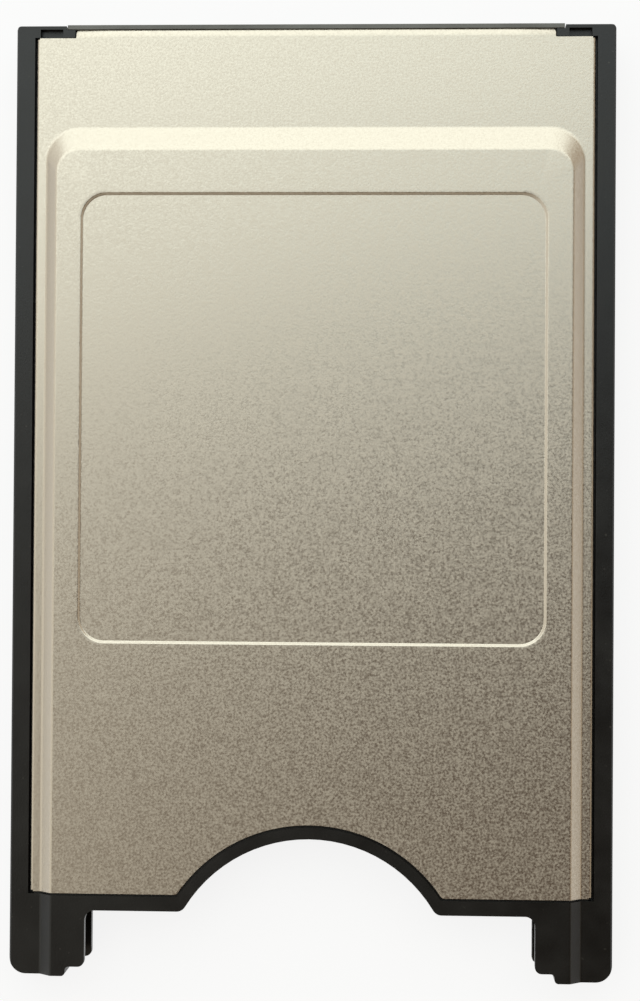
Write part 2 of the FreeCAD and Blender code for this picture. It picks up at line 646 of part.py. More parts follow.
def frame_envelope():
    """Upright block with the card's plan, whose round corners trim the frame."""
    zs = (-BEYOND, BODY_THICKNESS + BEYOND)
    plan = block((-SIDE_X, SIDE_X), (REAR_Y, POST_FRONT_Y), zs)
    plan = plan.makeFillet(FRONT_CORNER_RADIUS, upright_edges(plan, SIDE_X, POST_FRONT_Y))
    return plan.makeFillet(LEG_TIP_RADIUS, upright_edges(plan, SIDE_X, REAR_Y))


def frame():
    """The black moulding that everything else is held in."""
    side = right_side() + [board_ledge(), hold_tab(), mirrored_down(hold_tab())]
    for y in snap_places():
        tooth = snap_tooth(y)
        side += [tooth, mirrored_down(tooth)]
    lips = [mouth_lip(), mirrored_down(mouth_lip())]
    ribs = [key_rib(KEY_RIB_HEIGHT_RIGHT), mirrored_left(key_rib(KEY_RIB_HEIGHT_LEFT))]
    whole = joined(side + [mirrored_left(piece) for piece in side] + lips + ribs)
    for cutter in frame_cutters():
        whole = whole.cut(cutter)
    return whole.common(frame_envelope()).removeSplitter()


def row_height(row):
    """Middle height of a row of contacts: row 1 is the upper one and row -1 the lower one."""
    return MID_Z + row * ROW_SPACING / 2


def column_x(column, columns):
    return (column - (columns - 1) / 2) * PITCH


def host_cavity():
    """One socket cavity at the origin of its row, right through the housing, with a lead-in at the front."""
    half_x = CAVITY_WIDTH / 2
    half_z = CAVITY_HEIGHT / 2
    through = block((-half_x, half_x), (HOST_REAR_Y - BEYOND, FRONT_Y + BEYOND), (-half_z, half_z))
    wide_x = half_x + CAVITY_LEAD_IN
    wide_z = half_z + CAVITY_LEAD_IN
    inner = (-half_x, FRONT_Y - CAVITY_LEAD_IN, -half_z, -wide_z, -wide_x)
    outer = (half_x, FRONT_Y, half_z, wide_z, wide_x)
    return through.fuse(Part.makeWedge(*inner, *outer))


def host_connector_housing():
    """Receptacle moulding: front lip, a cavity for each contact, and an ear at each end behind the posts."""
    dip = TONGUE_ROLL_DROP * (HOST_LIP_Y - COVER_FRONT_Y) / TONGUE_LENGTH
    upper = [
        (HOST_REAR_Y, LEDGE_TOP),
        (COVER_FRONT_Y, LEDGE_TOP),
        (HOST_LIP_Y, LEDGE_TOP - dip),
        (HOST_LIP_Y, RAIL_TOP),
        (FRONT_Y, RAIL_TOP),
    ]
    body = along_x(both_halves(upper), (-HOST_HALF_WIDTH, HOST_HALF_WIDTH))
    ear_ys = (HOST_EAR_REAR_Y, HOST_EAR_REAR_Y + HOST_EAR_LENGTH)
    ears = block((-HOST_EAR_X, HOST_EAR_X), ear_ys, (2 * MID_Z - LEDGE_TOP, LEDGE_TOP))
    groove_x = HOST_HALF_WIDTH - GUIDE_RIB_DEPTH - GUIDE_RIB_CLEARANCE + HOST_SIDE_GAP
    groove_half = GUIDE_RIB_HEIGHT / 2 + GUIDE_RIB_CLEARANCE
    groove_zs = (MID_Z - groove_half, MID_Z + groove_half)
    rest_x = HOLD_TAB_X - HOLD_TAB_CLEARANCE
    rest_zs = (RAIL_TOP - HOLD_TAB_THICKNESS - HOLD_TAB_CLEARANCE, RAIL_TOP)
    post_y = POST_REAR_Y - HOST_SIDE_GAP
    groove = block((groove_x, HOST_EAR_X), (post_y, FRONT_Y + BEYOND), groove_zs)
    tab_rest = block((rest_x, HOST_EAR_X), (post_y, HOST_LIP_Y), rest_zs)
    ends = [groove, tab_rest, mirrored_down(tab_rest)]
    cavity = host_cavity()
    cavities = []
    for row in (-1, 1):
        for column in range(HOST_COLUMNS):
            copy = cavity.copy()
            copy.translate(vector(column_x(column, HOST_COLUMNS), 0, row_height(row)))
            cavities.append(copy)
    whole = joined([body, ears]).cut(Part.makeCompound(cavities))
    for cutter in ends:
        whole = whole.cut(cutter).cut(mirrored_left(cutter))
    return whole


def host_contact(row):
    """One socket contact on the middle line: a two-beam fork, its root, and a tail on the board's face."""
    middle = row_height(row)
    tail_z = MID_Z + row * BOARD_THICKNESS / 2
    tip_y = FRONT_Y - CONTACT_SETBACK
    throat_y = tip_y - CONTACT_SETBACK / 2
    root_y = tip_y - CONTACT_BEAM_LENGTH
    fork_y = root_y + CONTACT_STOCK
    half_height = CAVITY_HEIGHT / 2 - COVER_CLEARANCE / 2
    half_root = CONTACT_ROOT_HEIGHT / 2
    half_throat = CONTACT_THROAT / 2
    half_mouth = half_height - CONTACT_STOCK / 2
    bend_y = HOST_REAR_Y + CONTACT_STOCK
    below = [
        (bend_y, middle - row * half_root),
        (root_y, middle - row * half_height),
        (tip_y, middle - row * half_height),
        (tip_y, middle - row * half_mouth),
        (throat_y, middle - row * half_throat),
    ]
    above = [(y, 2 * middle - z) for y, z in reversed(below)]
    tail_end = HOST_REAR_Y - TAIL_LENGTH
    tail_turn = HOST_REAR_Y - CONTACT_STOCK
    tail_in = [(tail_end, tail_z), (tail_turn, tail_z)]
    tail_out = [(tail_turn, tail_z + row * CONTACT_STOCK), (tail_end, tail_z + row * CONTACT_STOCK)]
    profile = tail_in + below + [(fork_y, middle)] + above + tail_out
    return along_x(profile, (-CONTACT_WIDTH / 2, CONTACT_WIDTH / 2))


def header_pin(row, length):
    """One pin on the middle line: tapered tip, square shank through the header, and a tail on the board."""
    middle = row_height(row)
    tail_z = MID_Z + row * BOARD_THICKNESS / 2
    tip_y = HEADER_FACE_Y - length
    half_pin = PIN_SIZE / 2
    half_tip = PIN_TIP_SIZE / 2
    tail_turn = HEADER_REAR_Y + CONTACT_STOCK
    tail_end = HEADER_REAR_Y + TAIL_LENGTH
    profile = [
        (tip_y, middle - row * half_tip),
        (tip_y + PIN_TAPER, middle - row * half_pin),
        (HEADER_REAR_Y, middle - row * half_pin),
        (tail_turn, tail_z),
        (tail_end, tail_z),
        (tail_end, tail_z + row * CONTACT_STOCK),
        (tail_turn, tail_z + row * CONTACT_STOCK),
        (HEADER_REAR_Y, middle + row * half_pin),
        (tip_y + PIN_TAPER, middle + row * half_pin),
        (tip_y, middle + row * half_tip),
    ]
    return along_x(profile, (-half_pin, half_pin))


def numbered(solids, numbers, columns):
    """Copies of the row's solid at the places of numbered contacts: the upper row is counted first."""
    placed = []
    for number in numbers:
        row = 1 if number <= columns else -1
        copy = solids[row].copy()
        copy.translate(vector(column_x((number - 1) % columns, columns), 0, 0))
        placed.append(copy)
    return Part.makeCompound(placed)


def host_contact_groups():
    """Socket contacts by what they carry, as numbered from the upper row's first column."""
    solids = {row: host_contact(row) for row in (-1, 1)}
    first_lower = HOST_COLUMNS + 1
    last = 2 * HOST_COLUMNS
    middle = HOST_COLUMNS // 2
    ground = [1, HOST_COLUMNS, first_lower, last]
    power = [middle, HOST_COLUMNS + middle]
    programming = [middle + 1, HOST_COLUMNS + middle + 1]
    detect = [first_lower + 1, last - 1]
    special = ground + power + programming + detect
    upper = [n for n in range(1, first_lower) if n not in special]
    lower = [n for n in range(first_lower, last + 1) if n not in special]
    groups = {
        "host_ground_contacts": ground,
        "host_power_contacts": power,
        "host_programming_contacts": programming,
        "host_detect_contacts": detect,
        "host_signal_contacts_upper": upper,
        "host_signal_contacts_lower": lower,
    }
    return {name: numbered(solids, numbers, HOST_COLUMNS) for name, numbers in groups.items()}


def header_pin_groups():
    """Header pins by length and by what they carry."""
    last = 2 * HEADER_COLUMNS
    middle = (HEADER_COLUMNS + 1) // 2
    ground = [1, last]
    power = [middle, middle + HEADER_COLUMNS]
    detect = [HEADER_COLUMNS, HEADER_COLUMNS + 1]
    special = ground + power + detect
    upper = [n for n in range(1, HEADER_COLUMNS + 1) if n not in special]
    lower = [n for n in range(HEADER_COLUMNS + 1, last + 1) if n not in special]
    groups = {
        "header_ground_pins": (ground, LONG_PIN_LENGTH),
        "header_power_pins": (power, LONG_PIN_LENGTH),
        "header_detect_pins": (detect, SHORT_PIN_LENGTH),
        "header_signal_pins_upper": (upper, SIGNAL_PIN_LENGTH),
        "header_signal_pins_lower": (lower, SIGNAL_PIN_LENGTH),
    }
    made = {}
    for name, (numbers, length) in groups.items():
        solids = {row: header_pin(row, length) for row in (-1, 1)}
        made[name] = numbered(solids, numbers, HEADER_COLUMNS)
    return made


def card_header_housing():
    """Header moulding with a hole for each pin and an ear at each end in the frame's pockets."""
    half_width = SLOT_HALF_WIDTH - HEADER_SIDE_GAP
    half_height = MEMORY_CARD_THICKNESS / 2
    body_zs = (MID_Z - half_height, MID_Z + half_height)
    body = block((-half_width, half_width), (HEADER_FACE_Y, HEADER_REAR_Y), body_zs)
    ear_x = half_width + HEADER_EAR_WIDTH
    ear_zs = (MID_Z - HEADER_EAR_HEIGHT / 2, MID_Z + HEADER_EAR_HEIGHT / 2)
    ears = block((-ear_x, ear_x), (HEADER_EAR_Y, HEADER_EAR_Y + HEADER_EAR_LENGTH), ear_zs)
    half_hole = PIN_SIZE / 2 + PIN_HOLE_CLEARANCE
    ys = (HEADER_FACE_Y - BEYOND, HEADER_REAR_Y + BEYOND)
    holes = []
    for row in (-1, 1):
        z = row_height(row)
        for column in range(HEADER_COLUMNS):
            x = column_x(column, HEADER_COLUMNS)
            holes.append(block((x - half_hole, x + half_hole), ys, (z - half_hole, z + half_hole)))
    return joined([body, ears]).cut(Part.makeCompound(holes))


def circuit_board():
    """Board between the two connectors, with a narrower tongue under the header's tails."""
    half_width = HOST_HALF_WIDTH
    tongue_x = HEADER_HALF_SPAN + BOARD_TONGUE_MARGIN
    tongue_y = SHOULDER_END_Y + BOARD_SIDE_CLEARANCE
    outline = [
        (-tongue_x, BOARD_REAR_Y),
        (tongue_x, BOARD_REAR_Y),
        (tongue_x, tongue_y),
        (half_width, tongue_y),
        (half_width, BOARD_FRONT_Y),
        (-half_width, BOARD_FRONT_Y),
        (-half_width, tongue_y),
        (-tongue_x, tongue_y),
    ]
    return along_z(outline, (BOARD_TOP - BOARD_THICKNESS, BOARD_TOP))


def chip(middle_x, length, width, height):
    """A chip part on the board's upper face: a body with a slightly larger plated cap at each end."""
    y = HEADER_REAR_Y + TAIL_LENGTH + CHIP_ROW_SETBACK
    half_length = length / 2
    half_width = width / 2
    step = CHIP_CAP_STEP
    body_xs = (middle_x - half_length + step, middle_x + half_length - step)
    body_ys = (y - half_width + step, y + half_width - step)
    pieces = [block(body_xs, body_ys, (BOARD_TOP + step, BOARD_TOP + height - step))]
    for side in (-1, 1):
        xs = span(middle_x + side * half_length, middle_x + side * (half_length - CHIP_CAP_LENGTH))
        pieces.append(block(xs, (y - half_width, y + half_width), (BOARD_TOP, BOARD_TOP + height)))
    return joined(pieces)


def insulating_film():
    """Film stuck to the inside of the upper cover under the label recess, over the board."""
    half_width = RECESS_HALF_WIDTH - FILM_MARGIN
    ys = (HEADER_FACE_Y + FILM_REAR_MARGIN, RECESS_FRONT_Y - FILM_MARGIN)
    top_z = BODY_THICKNESS - RECESS_DEPTH - SHEET_THICKNESS
    return block((-half_width, half_width), ys, (top_z - FILM_THICKNESS, top_z))


def nodes():
    """Every physical piece of the adapter by its name."""
    made = {
        "frame": frame(),
        "upper_cover": upper_cover(),
        "lower_cover": lower_cover(),
        "host_connector_housing": host_connector_housing(),
        "card_header_housing": card_header_housing(),
        "circuit_board": circuit_board(),
        "bypass_capacitor_left": chip(-CAPACITOR_X, CAPACITOR_LENGTH, CAPACITOR_WIDTH, CAPACITOR_HEIGHT),
        "bypass_capacitor_right": chip(CAPACITOR_X, CAPACITOR_LENGTH, CAPACITOR_WIDTH, CAPACITOR_HEIGHT),
        "pull_up_resistor_left": chip(-RESISTOR_X, RESISTOR_LENGTH, RESISTOR_WIDTH, RESISTOR_HEIGHT),
        "pull_up_resistor_right": chip(RESISTOR_X, RESISTOR_LENGTH, RESISTOR_WIDTH, RESISTOR_HEIGHT),
        "upper_insulating_film": insulating_film(),
        "lower_insulating_film": turned_over(insulating_film()),
    }
    made.update(host_contact_groups())
    made.update(header_pin_groups())
    return made


os.makedirs("parts", exist_ok=True)
for name, shape in nodes().items():
    shape.exportStep("parts/" + name + ".step")
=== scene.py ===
import math

import bmesh
import bpy
from bpy.props import FloatProperty, FloatVectorProperty, IntProperty, PointerProperty
from mathutils import Matrix, Vector


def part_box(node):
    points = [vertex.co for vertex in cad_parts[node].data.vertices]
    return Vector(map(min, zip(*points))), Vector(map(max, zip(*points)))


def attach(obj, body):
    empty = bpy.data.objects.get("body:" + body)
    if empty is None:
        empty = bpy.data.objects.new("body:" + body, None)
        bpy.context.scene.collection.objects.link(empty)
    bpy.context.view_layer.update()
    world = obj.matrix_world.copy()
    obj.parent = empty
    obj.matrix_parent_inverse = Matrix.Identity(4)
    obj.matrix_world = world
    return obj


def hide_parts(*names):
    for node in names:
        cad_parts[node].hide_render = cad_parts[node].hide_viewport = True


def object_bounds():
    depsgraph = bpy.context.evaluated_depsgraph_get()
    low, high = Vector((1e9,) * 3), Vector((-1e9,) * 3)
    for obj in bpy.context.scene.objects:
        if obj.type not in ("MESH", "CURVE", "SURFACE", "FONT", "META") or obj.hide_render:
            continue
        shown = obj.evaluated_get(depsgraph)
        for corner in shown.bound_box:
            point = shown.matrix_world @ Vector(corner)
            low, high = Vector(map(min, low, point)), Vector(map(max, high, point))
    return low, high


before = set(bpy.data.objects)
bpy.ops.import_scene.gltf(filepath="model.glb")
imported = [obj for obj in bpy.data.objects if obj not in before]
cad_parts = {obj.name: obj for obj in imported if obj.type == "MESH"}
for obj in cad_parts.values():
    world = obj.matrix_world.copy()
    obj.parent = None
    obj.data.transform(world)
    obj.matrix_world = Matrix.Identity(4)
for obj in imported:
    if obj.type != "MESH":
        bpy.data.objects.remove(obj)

bl_info = {
    "name": "Memory Card Adapter",
    "version": (1, 0, 0),
    "blender": (4, 5, 0),
    "location": "View3D > Sidebar > Card Adapter",
    "description": "Finished looks for a flat memory card adapter: stamped covers, moulded frame, contacts",
    "category": "Object",
}

MM = 0.001

# Places that the CAD model fixes
CAD_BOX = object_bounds()
COVER_LOW, COVER_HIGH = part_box("upper_cover")
HOST_LOW, HOST_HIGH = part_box("host_connector_housing")
HEADER_LOW, HEADER_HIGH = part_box("card_header_housing")
BOARD_LOW, BOARD_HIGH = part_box("circuit_board")
TOP_Z = COVER_HIGH[2]
MID_Z = TOP_Z / 2
BOARD_HALF = (BOARD_HIGH[2] - BOARD_LOW[2]) / 2

# The two rows of pins, and the two rows of contacts, are this far apart
ROW_SPACING = 1.27 * MM

# Widths of a header pin's tip and tail, as shares of the pin's own width
TIP_SHARE = 0.42
TAIL_SHARE = 0.53

# Where a contact's beams come closest, in setbacks from the face, and how far apart they start at the root
THROAT_SETBACKS = 1.5
ROOT_SHARE = 0.6

# Vertices closer than this are one, and faces that turn less than this are one flat
MERGE_DISTANCE = 0.0005 * MM
FLAT_TURN = math.radians(0.5)

# Edges that turn more than this, in degrees, are rounded
MOULDING_EDGE_TURN = 28
SHEET_EDGE_TURN = 50

# Most values of a Noise node lie between these
NOISE_RANGE = (0.3, 0.7)

# The lamp's place and the point that the camera looks at
LAMP_PLACE = Vector((-12, 223, 243)) * MM
CAMERA_TARGET = Vector((0.66 * MM, -0.06 * MM, MID_Z))

# Dim round patches in the room's light: direction, and cosines at the patch's edge and at its core
DOORWAY_PATCH = ((0.0, -0.77, 0.64), 0.79, 0.88)
OPENING_PATCH = ((0.34, -0.18, 1.0), 0.82, 0.91)


# Colours and nodes

def linear(hex_colour):
    """Linear colour, with alpha, from an sRGB hex value."""
    channels = [int(hex_colour[i:i + 2], 16) / 255 for i in (1, 3, 5)]
    straight = [c / 12.92 if c <= 0.04045 else ((c + 0.055) / 1.055) ** 2.4 for c in channels]
    return (*straight, 1.0)


def add_node(tree, kind, inputs=(), **settings):
    """A node with its settings, and its inputs, given in order or by name, linked or set."""
    node = tree.nodes.new(kind)
    for name, value in settings.items():
        setattr(node, name, value)
    keyed = inputs.items() if isinstance(inputs, dict) else enumerate(inputs)
    for key, value in keyed:
        if isinstance(value, bpy.types.NodeSocket):
            tree.links.new(value, node.inputs[key])
        else:
            node.inputs[key].default_value = value
    return node


def length_property(name, description, millimetres):
    return FloatProperty(
        name=name, description=description, default=millimetres * MM, min=0.0,
        unit="LENGTH", subtype="DISTANCE",
    )


def angle_property(name, description, degrees):
    return FloatProperty(name=name, description=description, default=math.radians(degrees), unit="ROTATION")


def colour_property(name, description, hex_colour):
    return FloatVectorProperty(
        name=name, description=description, default=linear(hex_colour), size=4, min=0.0, max=1.0,
        subtype="COLOR",
    )


# What a user may change

class CoverSizes(bpy.types.PropertyGroup):
    """Sizes of the stamped covers."""

    sheet: length_property("Sheet", "Thickness of the cover's sheet", 0.2)
    raised_height: length_property("Raised Height", "Height of the raised area over the flat shelf", 0.85)
    shelf_width: length_property("Side Shelf", "From the cover's side to the raised area's foot", 1.0)
    shelf_length: length_property("Front Shelf", "From the adapter's front to the raised area's foot", 9.4)
    side_run: length_property("Side Slope", "Run of the slopes at the sides", 1.0)
    front_run: length_property("Front Slope", "Run of the slope at the front", 2.0)
    side_bend: length_property("Side Bend", "Outer radius of the bends at the sides", 0.4)
    front_bend: length_property("Front Bend", "Outer radius of the bends at the front", 0.8)
    foot_corner: length_property("Foot Corner", "Plan radius of the raised area's foot", 3.0)
    top_corner: length_property("Top Corner", "Plan radius of the raised area's top", 2.1)
    skirt_bend: length_property("Skirt Bend", "Outer radius of the bend down into the skirt", 0.3)
    skirt_end: length_property("Skirt End Gap", "Gap between the skirt's ends and the cover's ends", 0.12)
    snap_count: IntProperty(name="Snap Windows", description="Windows in one skirt", default=6, min=2)
    snap_margin: length_property("Snap Margin", "From the cover's rear edge to the first window", 5.0)
    snap_pitch: length_property("Snap Pitch", "Distance from window to window", 12.37)
    window_length: length_property("Window Length", "Length of a snap window", 2.0)
    window_strip: length_property("Window Strip", "Strip of sheet left below a snap window", 0.12)
    tongue_half: length_property("Tongue Half Width", "Half the width of the front tongue", 21.6)
    tongue_length: length_property("Tongue Length", "Length of the front tongue", 0.76)
    tongue_fillet: length_property("Tongue Fillet", "Fillet between the tongue and the shelf", 0.1)
    tongue_corner: length_property("Tongue Corner", "Width of the rounding at the tongue's corners", 0.3)
    tongue_drop: length_property("Tongue Drop", "How far the tongue's end is rolled down", 0.12)
    notch_radius: length_property("Notch Radius", "Radius of the finger notch in the cover", 14.25)
    notch_offset: length_property("Notch Offset", "From the adapter's rear end to the notch's centre", 0.5)
    notch_edge: length_property("Notch Edge", "Radius where the notch meets the straight edge", 0.4)
    recess_margin: length_property("Recess Margin", "From the raised area's side to the label recess", 2.24)
    recess_setback: length_property("Recess Setback", "From the raised area's front to the label recess", 3.9)
    recess_length: length_property("Recess Length", "Length of the label recess", 40.5)
    recess_depth: length_property("Recess Depth", "Depth of the label recess", 0.15)
    recess_wall: length_property("Recess Wall", "Run of the label recess's wall", 0.28)
    recess_corner: length_property("Recess Corner", "Plan radius of the label recess", 2.4)
    burr: length_property("Edge Break", "Width of the broken edge round the sheet", 0.025)


class MouldingSizes(bpy.types.PropertyGroup):
    """Edge radii of the moulded pieces."""

    frame_edge: length_property("Frame Edge", "Radius of the frame's moulded edges", 0.07)
    host_edge: length_property("Host Housing Edge", "Radius of the host receptacle's edges", 0.03)
    header_edge: length_property("Header Edge", "Radius of the header's edges", 0.04)


class ContactSizes(bpy.types.PropertyGroup):
    """Sizes of the header pins and the host contacts."""

    header_columns: IntProperty(name="Header Columns", description="Pins in one row", default=25, min=3)
    host_columns: IntProperty(name="Host Columns", description="Contacts in one row", default=34, min=2)
    pitch: length_property("Pitch", "Distance from pin to pin along a row", 1.27)
    pin_size: length_property("Pin Size", "Width of a square header pin", 0.38)
    pin_corner: length_property("Pin Corner", "Corner radius of a header pin's section", 0.06)
    pin_taper: length_property("Pin Taper", "Length of a pin's tapered tip", 0.5)
    signal_length: length_property("Signal Pin", "How far a signal pin stands out", 4.25)
    long_extra: length_property("Long Pin Lead", "How much further ground and power pins stand out", 0.75)
    short_lack: length_property("Short Pin Lag", "How much less the detect pins stand out", 0.75)
    tail_length: length_property("Tail Length", "Length of a solder tail on the board", 2.4)
    tail_bend: length_property("Tail Bend", "Run of the bend from a pin's middle to its tail", 0.2)
    beam_width: length_property("Beam Width", "Width of a host contact", 0.4)
    beam_stock: length_property("Beam Stock", "Thickness of a host contact's beams", 0.1)
    beam_length: length_property("Beam Length", "Length of a host contact's beams", 4.3)
    beam_mouth: length_property("Beam Mouth", "From a host contact's middle to its beams' tips", 0.27)
    beam_throat: length_property("Beam Throat", "From a host contact's middle to its beams' throat", 0.2)
    contact_setback: length_property("Contact Setback", "From the receptacle's face to the beams' tips", 1.1)


class FinishColours(bpy.types.PropertyGroup):
    """Colours of the finishes."""

    steel_light: colour_property("Steel Light", "Nickel-plated sheet on the high grains", "#D3CABB")
    steel_dark: colour_property("Steel Dark", "Nickel-plated sheet in the low grains", "#CCC3B4")
    frame_black: colour_property("Frame Black", "Glass-filled nylon of the frame", "#0F0F0E")
    frame_scuff: colour_property("Frame Scuff", "Rubbed skin and dust on the frame", "#3C3A36")
    host_grey: colour_property("Host Grey", "Polyester of the host receptacle", "#565550")
    host_flow: colour_property("Host Flow", "Paler flow clouds in the receptacle", "#7A7A76")
    header_black: colour_property("Header Black", "Liquid crystal polymer of the header", "#1A1A19")
    header_streak: colour_property("Header Streak", "Paler flow streaks in the header", "#424241")
    gold: colour_property("Gold", "Plating of the pins and contacts", "#E3BE72")
    gold_dull: colour_property("Dull Gold", "Thinner plating, with the bronze coming through", "#D2AE6A")
    board_green: colour_property("Board Green", "Solder mask of the circuit board", "#14583A")
    board_trace: colour_property("Board Trace", "Solder mask over a copper track", "#2A7A4E")
    ceramic_tan: colour_property("Ceramic Tan", "Body of the capacitors", "#A98A66")
    ceramic_pale: colour_property("Ceramic Pale", "Paler grains in the capacitors", "#B9A794")
    ceramic_black: colour_property("Ceramic Black", "Body of the resistors", "#22211F")
    ceramic_grey: colour_property("Ceramic Grey", "Paler grains in the resistors", "#81817F")
    film_amber: colour_property("Film Amber", "Polyester film inside the covers", "#C08A3A")
    film_deep: colour_property("Film Deep", "Film where its waves look thicker", "#B27F37")
    floor_white: colour_property("Floor", "Paper under the adapter", "#F8F8F7")
    floor_fibre: colour_property("Floor Fibre", "Greyer clouds in the paper", "#F6F6F5")
    seen_white: colour_property("Seen White", "Plain white that stands for the lit paper", "#FFFFFF")
    lamp_tint: colour_property("Lamp", "Light of the large lamp", "#EAFBFF")
    tent_left: colour_property("Tent Left", "Light of the white tent on the left", "#F8F6ED")
    tent_right: colour_property("Tent Right", "Light of the white tent on the right", "#BCAB94")
    tent_opening: colour_property("Tent Opening", "Dim light from the opening overhead", "#4A3628")
    tent_doorway: colour_property("Tent Doorway", "Dimmer light from behind the adapter's legs", "#A69C8C")


class StageSettings(bpy.types.PropertyGroup):
    """Camera, lamp and floor."""

    camera_distance: length_property("Camera Distance", "From the camera to the adapter's middle", 180.0)
    lens: FloatProperty(
        name="Lens", description="Focal length for a 36 mm long side", default=71.5, min=1.0, unit="CAMERA",
    )
    tilt_back: angle_property("Tilt Back", "How far the camera stands towards the adapter's legs", 0.759)
    tilt_side: angle_property("Tilt Side", "How far the camera stands to the adapter's right", 2.443)
    roll: angle_property("Roll", "How far the camera is turned about its view", 0.382)
    key_power: FloatProperty(
        name="Key Lamp", description="Power of the large lamp", default=0.79, min=0.0, unit="POWER",
    )
    key_size: length_property("Key Lamp Size", "Side of the large lamp", 455.0)
    floor_half: length_property("Floor Half Width", "From the floor's middle to its sides", 3000.0)
    floor_gap: length_property("Floor Gap", "Gap between the floor and the adapter", 0.02)
    floor_glow: FloatProperty(
        name="Floor Glow", description="Share of plain white in the floor that the camera sees",
        default=0.86, min=0.0, max=1.0, subtype="FACTOR",
    )


# Materials

def new_material(name):
    material = bpy.data.materials.new(name)
    material.use_nodes = True
    material.node_tree.nodes.clear()
    return material, material.node_tree


def grain(tree, size_mm, detail=2.0, roughness=0.5, stretch=(1.0, 1.0, 1.0)):
    """Noise on the piece's own coordinates whose features are about size_mm across."""
    place = add_node(tree, "ShaderNodeTexCoord")
    turned = add_node(tree, "ShaderNodeMapping", {"Vector": place.outputs["Object"], "Scale": stretch})
    return add_node(tree, "ShaderNodeTexNoise", {
        "Vector": turned.outputs["Vector"],
        "Scale": 1.0 / (size_mm * MM),
        "Detail": detail,
        "Roughness": roughness,
    }).outputs["Fac"]


def tinted(tree, pattern, low, high, first, second, most=1.0):
    """The first colour, which turns into the second as the pattern rises from low to high."""
    share = add_node(tree, "ShaderNodeMapRange", [pattern, low, high, 0.0, most]).outputs[0]
    mix = add_node(tree, "ShaderNodeMix", {0: share, 6: first, 7: second}, data_type="RGBA")
    return mix.outputs[2]


def finished_surface(tree, colour, sheen, smoothest, roughest, skin, depth_mm, strength,
                     levels=NOISE_RANGE, **shader):
    """A surface whose roughness follows one pattern, and whose relief of a real depth follows another."""
    rough = add_node(tree, "ShaderNodeMapRange", [sheen, *levels, smoothest, roughest]).outputs[0]
    bump = add_node(tree, "ShaderNodeBump", {"Height": skin, "Distance": depth_mm * MM, "Strength": strength})
    if "Normal" in shader:
        tree.links.new(shader["Normal"], bump.inputs["Normal"])
    values = {**shader, "Base Color": colour, "Roughness": rough, "Normal": bump.outputs[0]}
    body = add_node(tree, "ShaderNodeBsdfPrincipled", values)
    add_node(tree, "ShaderNodeOutputMaterial", {"Surface": body.outputs[0]})


def satin_nickel_plated_steel(colours):
    """Stainless sheet, bead-blasted and nickel-plated before stamping: a warm satin metal whose blasted
    grain breaks the reflection into a soft mottle."""
    material, tree = new_material("satin_nickel_plated_steel")
    # The blasted pits are about 0.05 mm wide, and are drawn 0.19 mm wide so that the mottle shows
    grit = grain(tree, 0.19, detail=1.0)
    colour = tinted(tree, grit, *NOISE_RANGE, colours.steel_dark, colours.steel_light)
    finished_surface(
        tree, colour, sheen=grit, smoothest=0.28, roughest=0.48,
        skin=grit, depth_mm=0.005, strength=1.0, Metallic=1.0,
    )
    return material


def moulded_black_nylon(colours):
    """Glass-filled nylon from a spark-eroded tool: a black body under a fine pebbled skin, whose low
    sheen carries what brightness it has, with clouds of handling and a few pale specks of dust."""
    material, tree = new_material("moulded_black_nylon")
    # Pebbles of about 0.04 mm and dust of about 0.1 mm are drawn coarser than that, so that they show
    pebble = grain(tree, 0.16, detail=3.0, roughness=0.65)
    cloud = grain(tree, 3.0)
    dust = grain(tree, 0.45, detail=1.0)
    rubbed = tinted(tree, cloud, *NOISE_RANGE, colours.frame_black, colours.frame_scuff, most=0.08)
    colour = tinted(tree, dust, 0.74, 0.8, rubbed, colours.frame_scuff, most=0.6)
    finished_surface(
        tree, colour, sheen=cloud, smoothest=0.3, roughest=0.38,
        skin=pebble, depth_mm=0.012, strength=0.8, IOR=1.48,
    )
    return material


def moulded_grey_polyester(colours):
    """Glass-filled polyester of the receptacle: a smooth grey moulding with flow clouds and a dull sheen."""
    material, tree = new_material("moulded_grey_polyester")
    flow = grain(tree, 1.6, stretch=(0.4, 1.0, 1.0))
    # The glass fibres are about 0.01 mm thick, and are drawn 0.12 mm wide so that they show
    fibre = grain(tree, 0.12)
    colour = tinted(tree, flow, *NOISE_RANGE, colours.host_grey, colours.host_flow, most=0.5)
    finished_surface(
        tree, colour, sheen=fibre, smoothest=0.4, roughest=0.5,
        skin=fibre, depth_mm=0.005, strength=0.6, IOR=1.57,
    )
    return material


def moulded_black_polymer(colours):
    """Liquid crystal polymer of the header: black with streaks along the flow and a semi-matt skin."""
    material, tree = new_material("moulded_black_polymer")
    streaks = grain(tree, 0.5, detail=3.0, stretch=(0.15, 1.0, 1.0))
    colour = tinted(tree, streaks, 0.35, 0.65, colours.header_black, colours.header_streak)
    finished_surface(
        tree, colour, sheen=streaks, smoothest=0.35, roughest=0.5,
        skin=streaks, depth_mm=0.006, strength=0.6, IOR=1.6,
    )
    return material


def gold_plated_bronze(colours):
    """Phosphor bronze with a thin hard gold plate: warm, bright and slightly drawn along the pin."""
    material, tree = new_material("gold_plated_bronze")
    # The die's lines are about 0.01 mm apart, and are drawn 0.08 mm apart so that they show
    drawn = grain(tree, 0.08, stretch=(1.0, 0.1, 1.0))
    worn = grain(tree, 0.8, detail=1.0)
    colour = tinted(tree, worn, 0.35, 0.7, colours.gold, colours.gold_dull)
    finished_surface(
        tree, colour, sheen=drawn, smoothest=0.2, roughest=0.32,
        skin=drawn, depth_mm=0.002, strength=0.5, Metallic=1.0,
    )
    return material


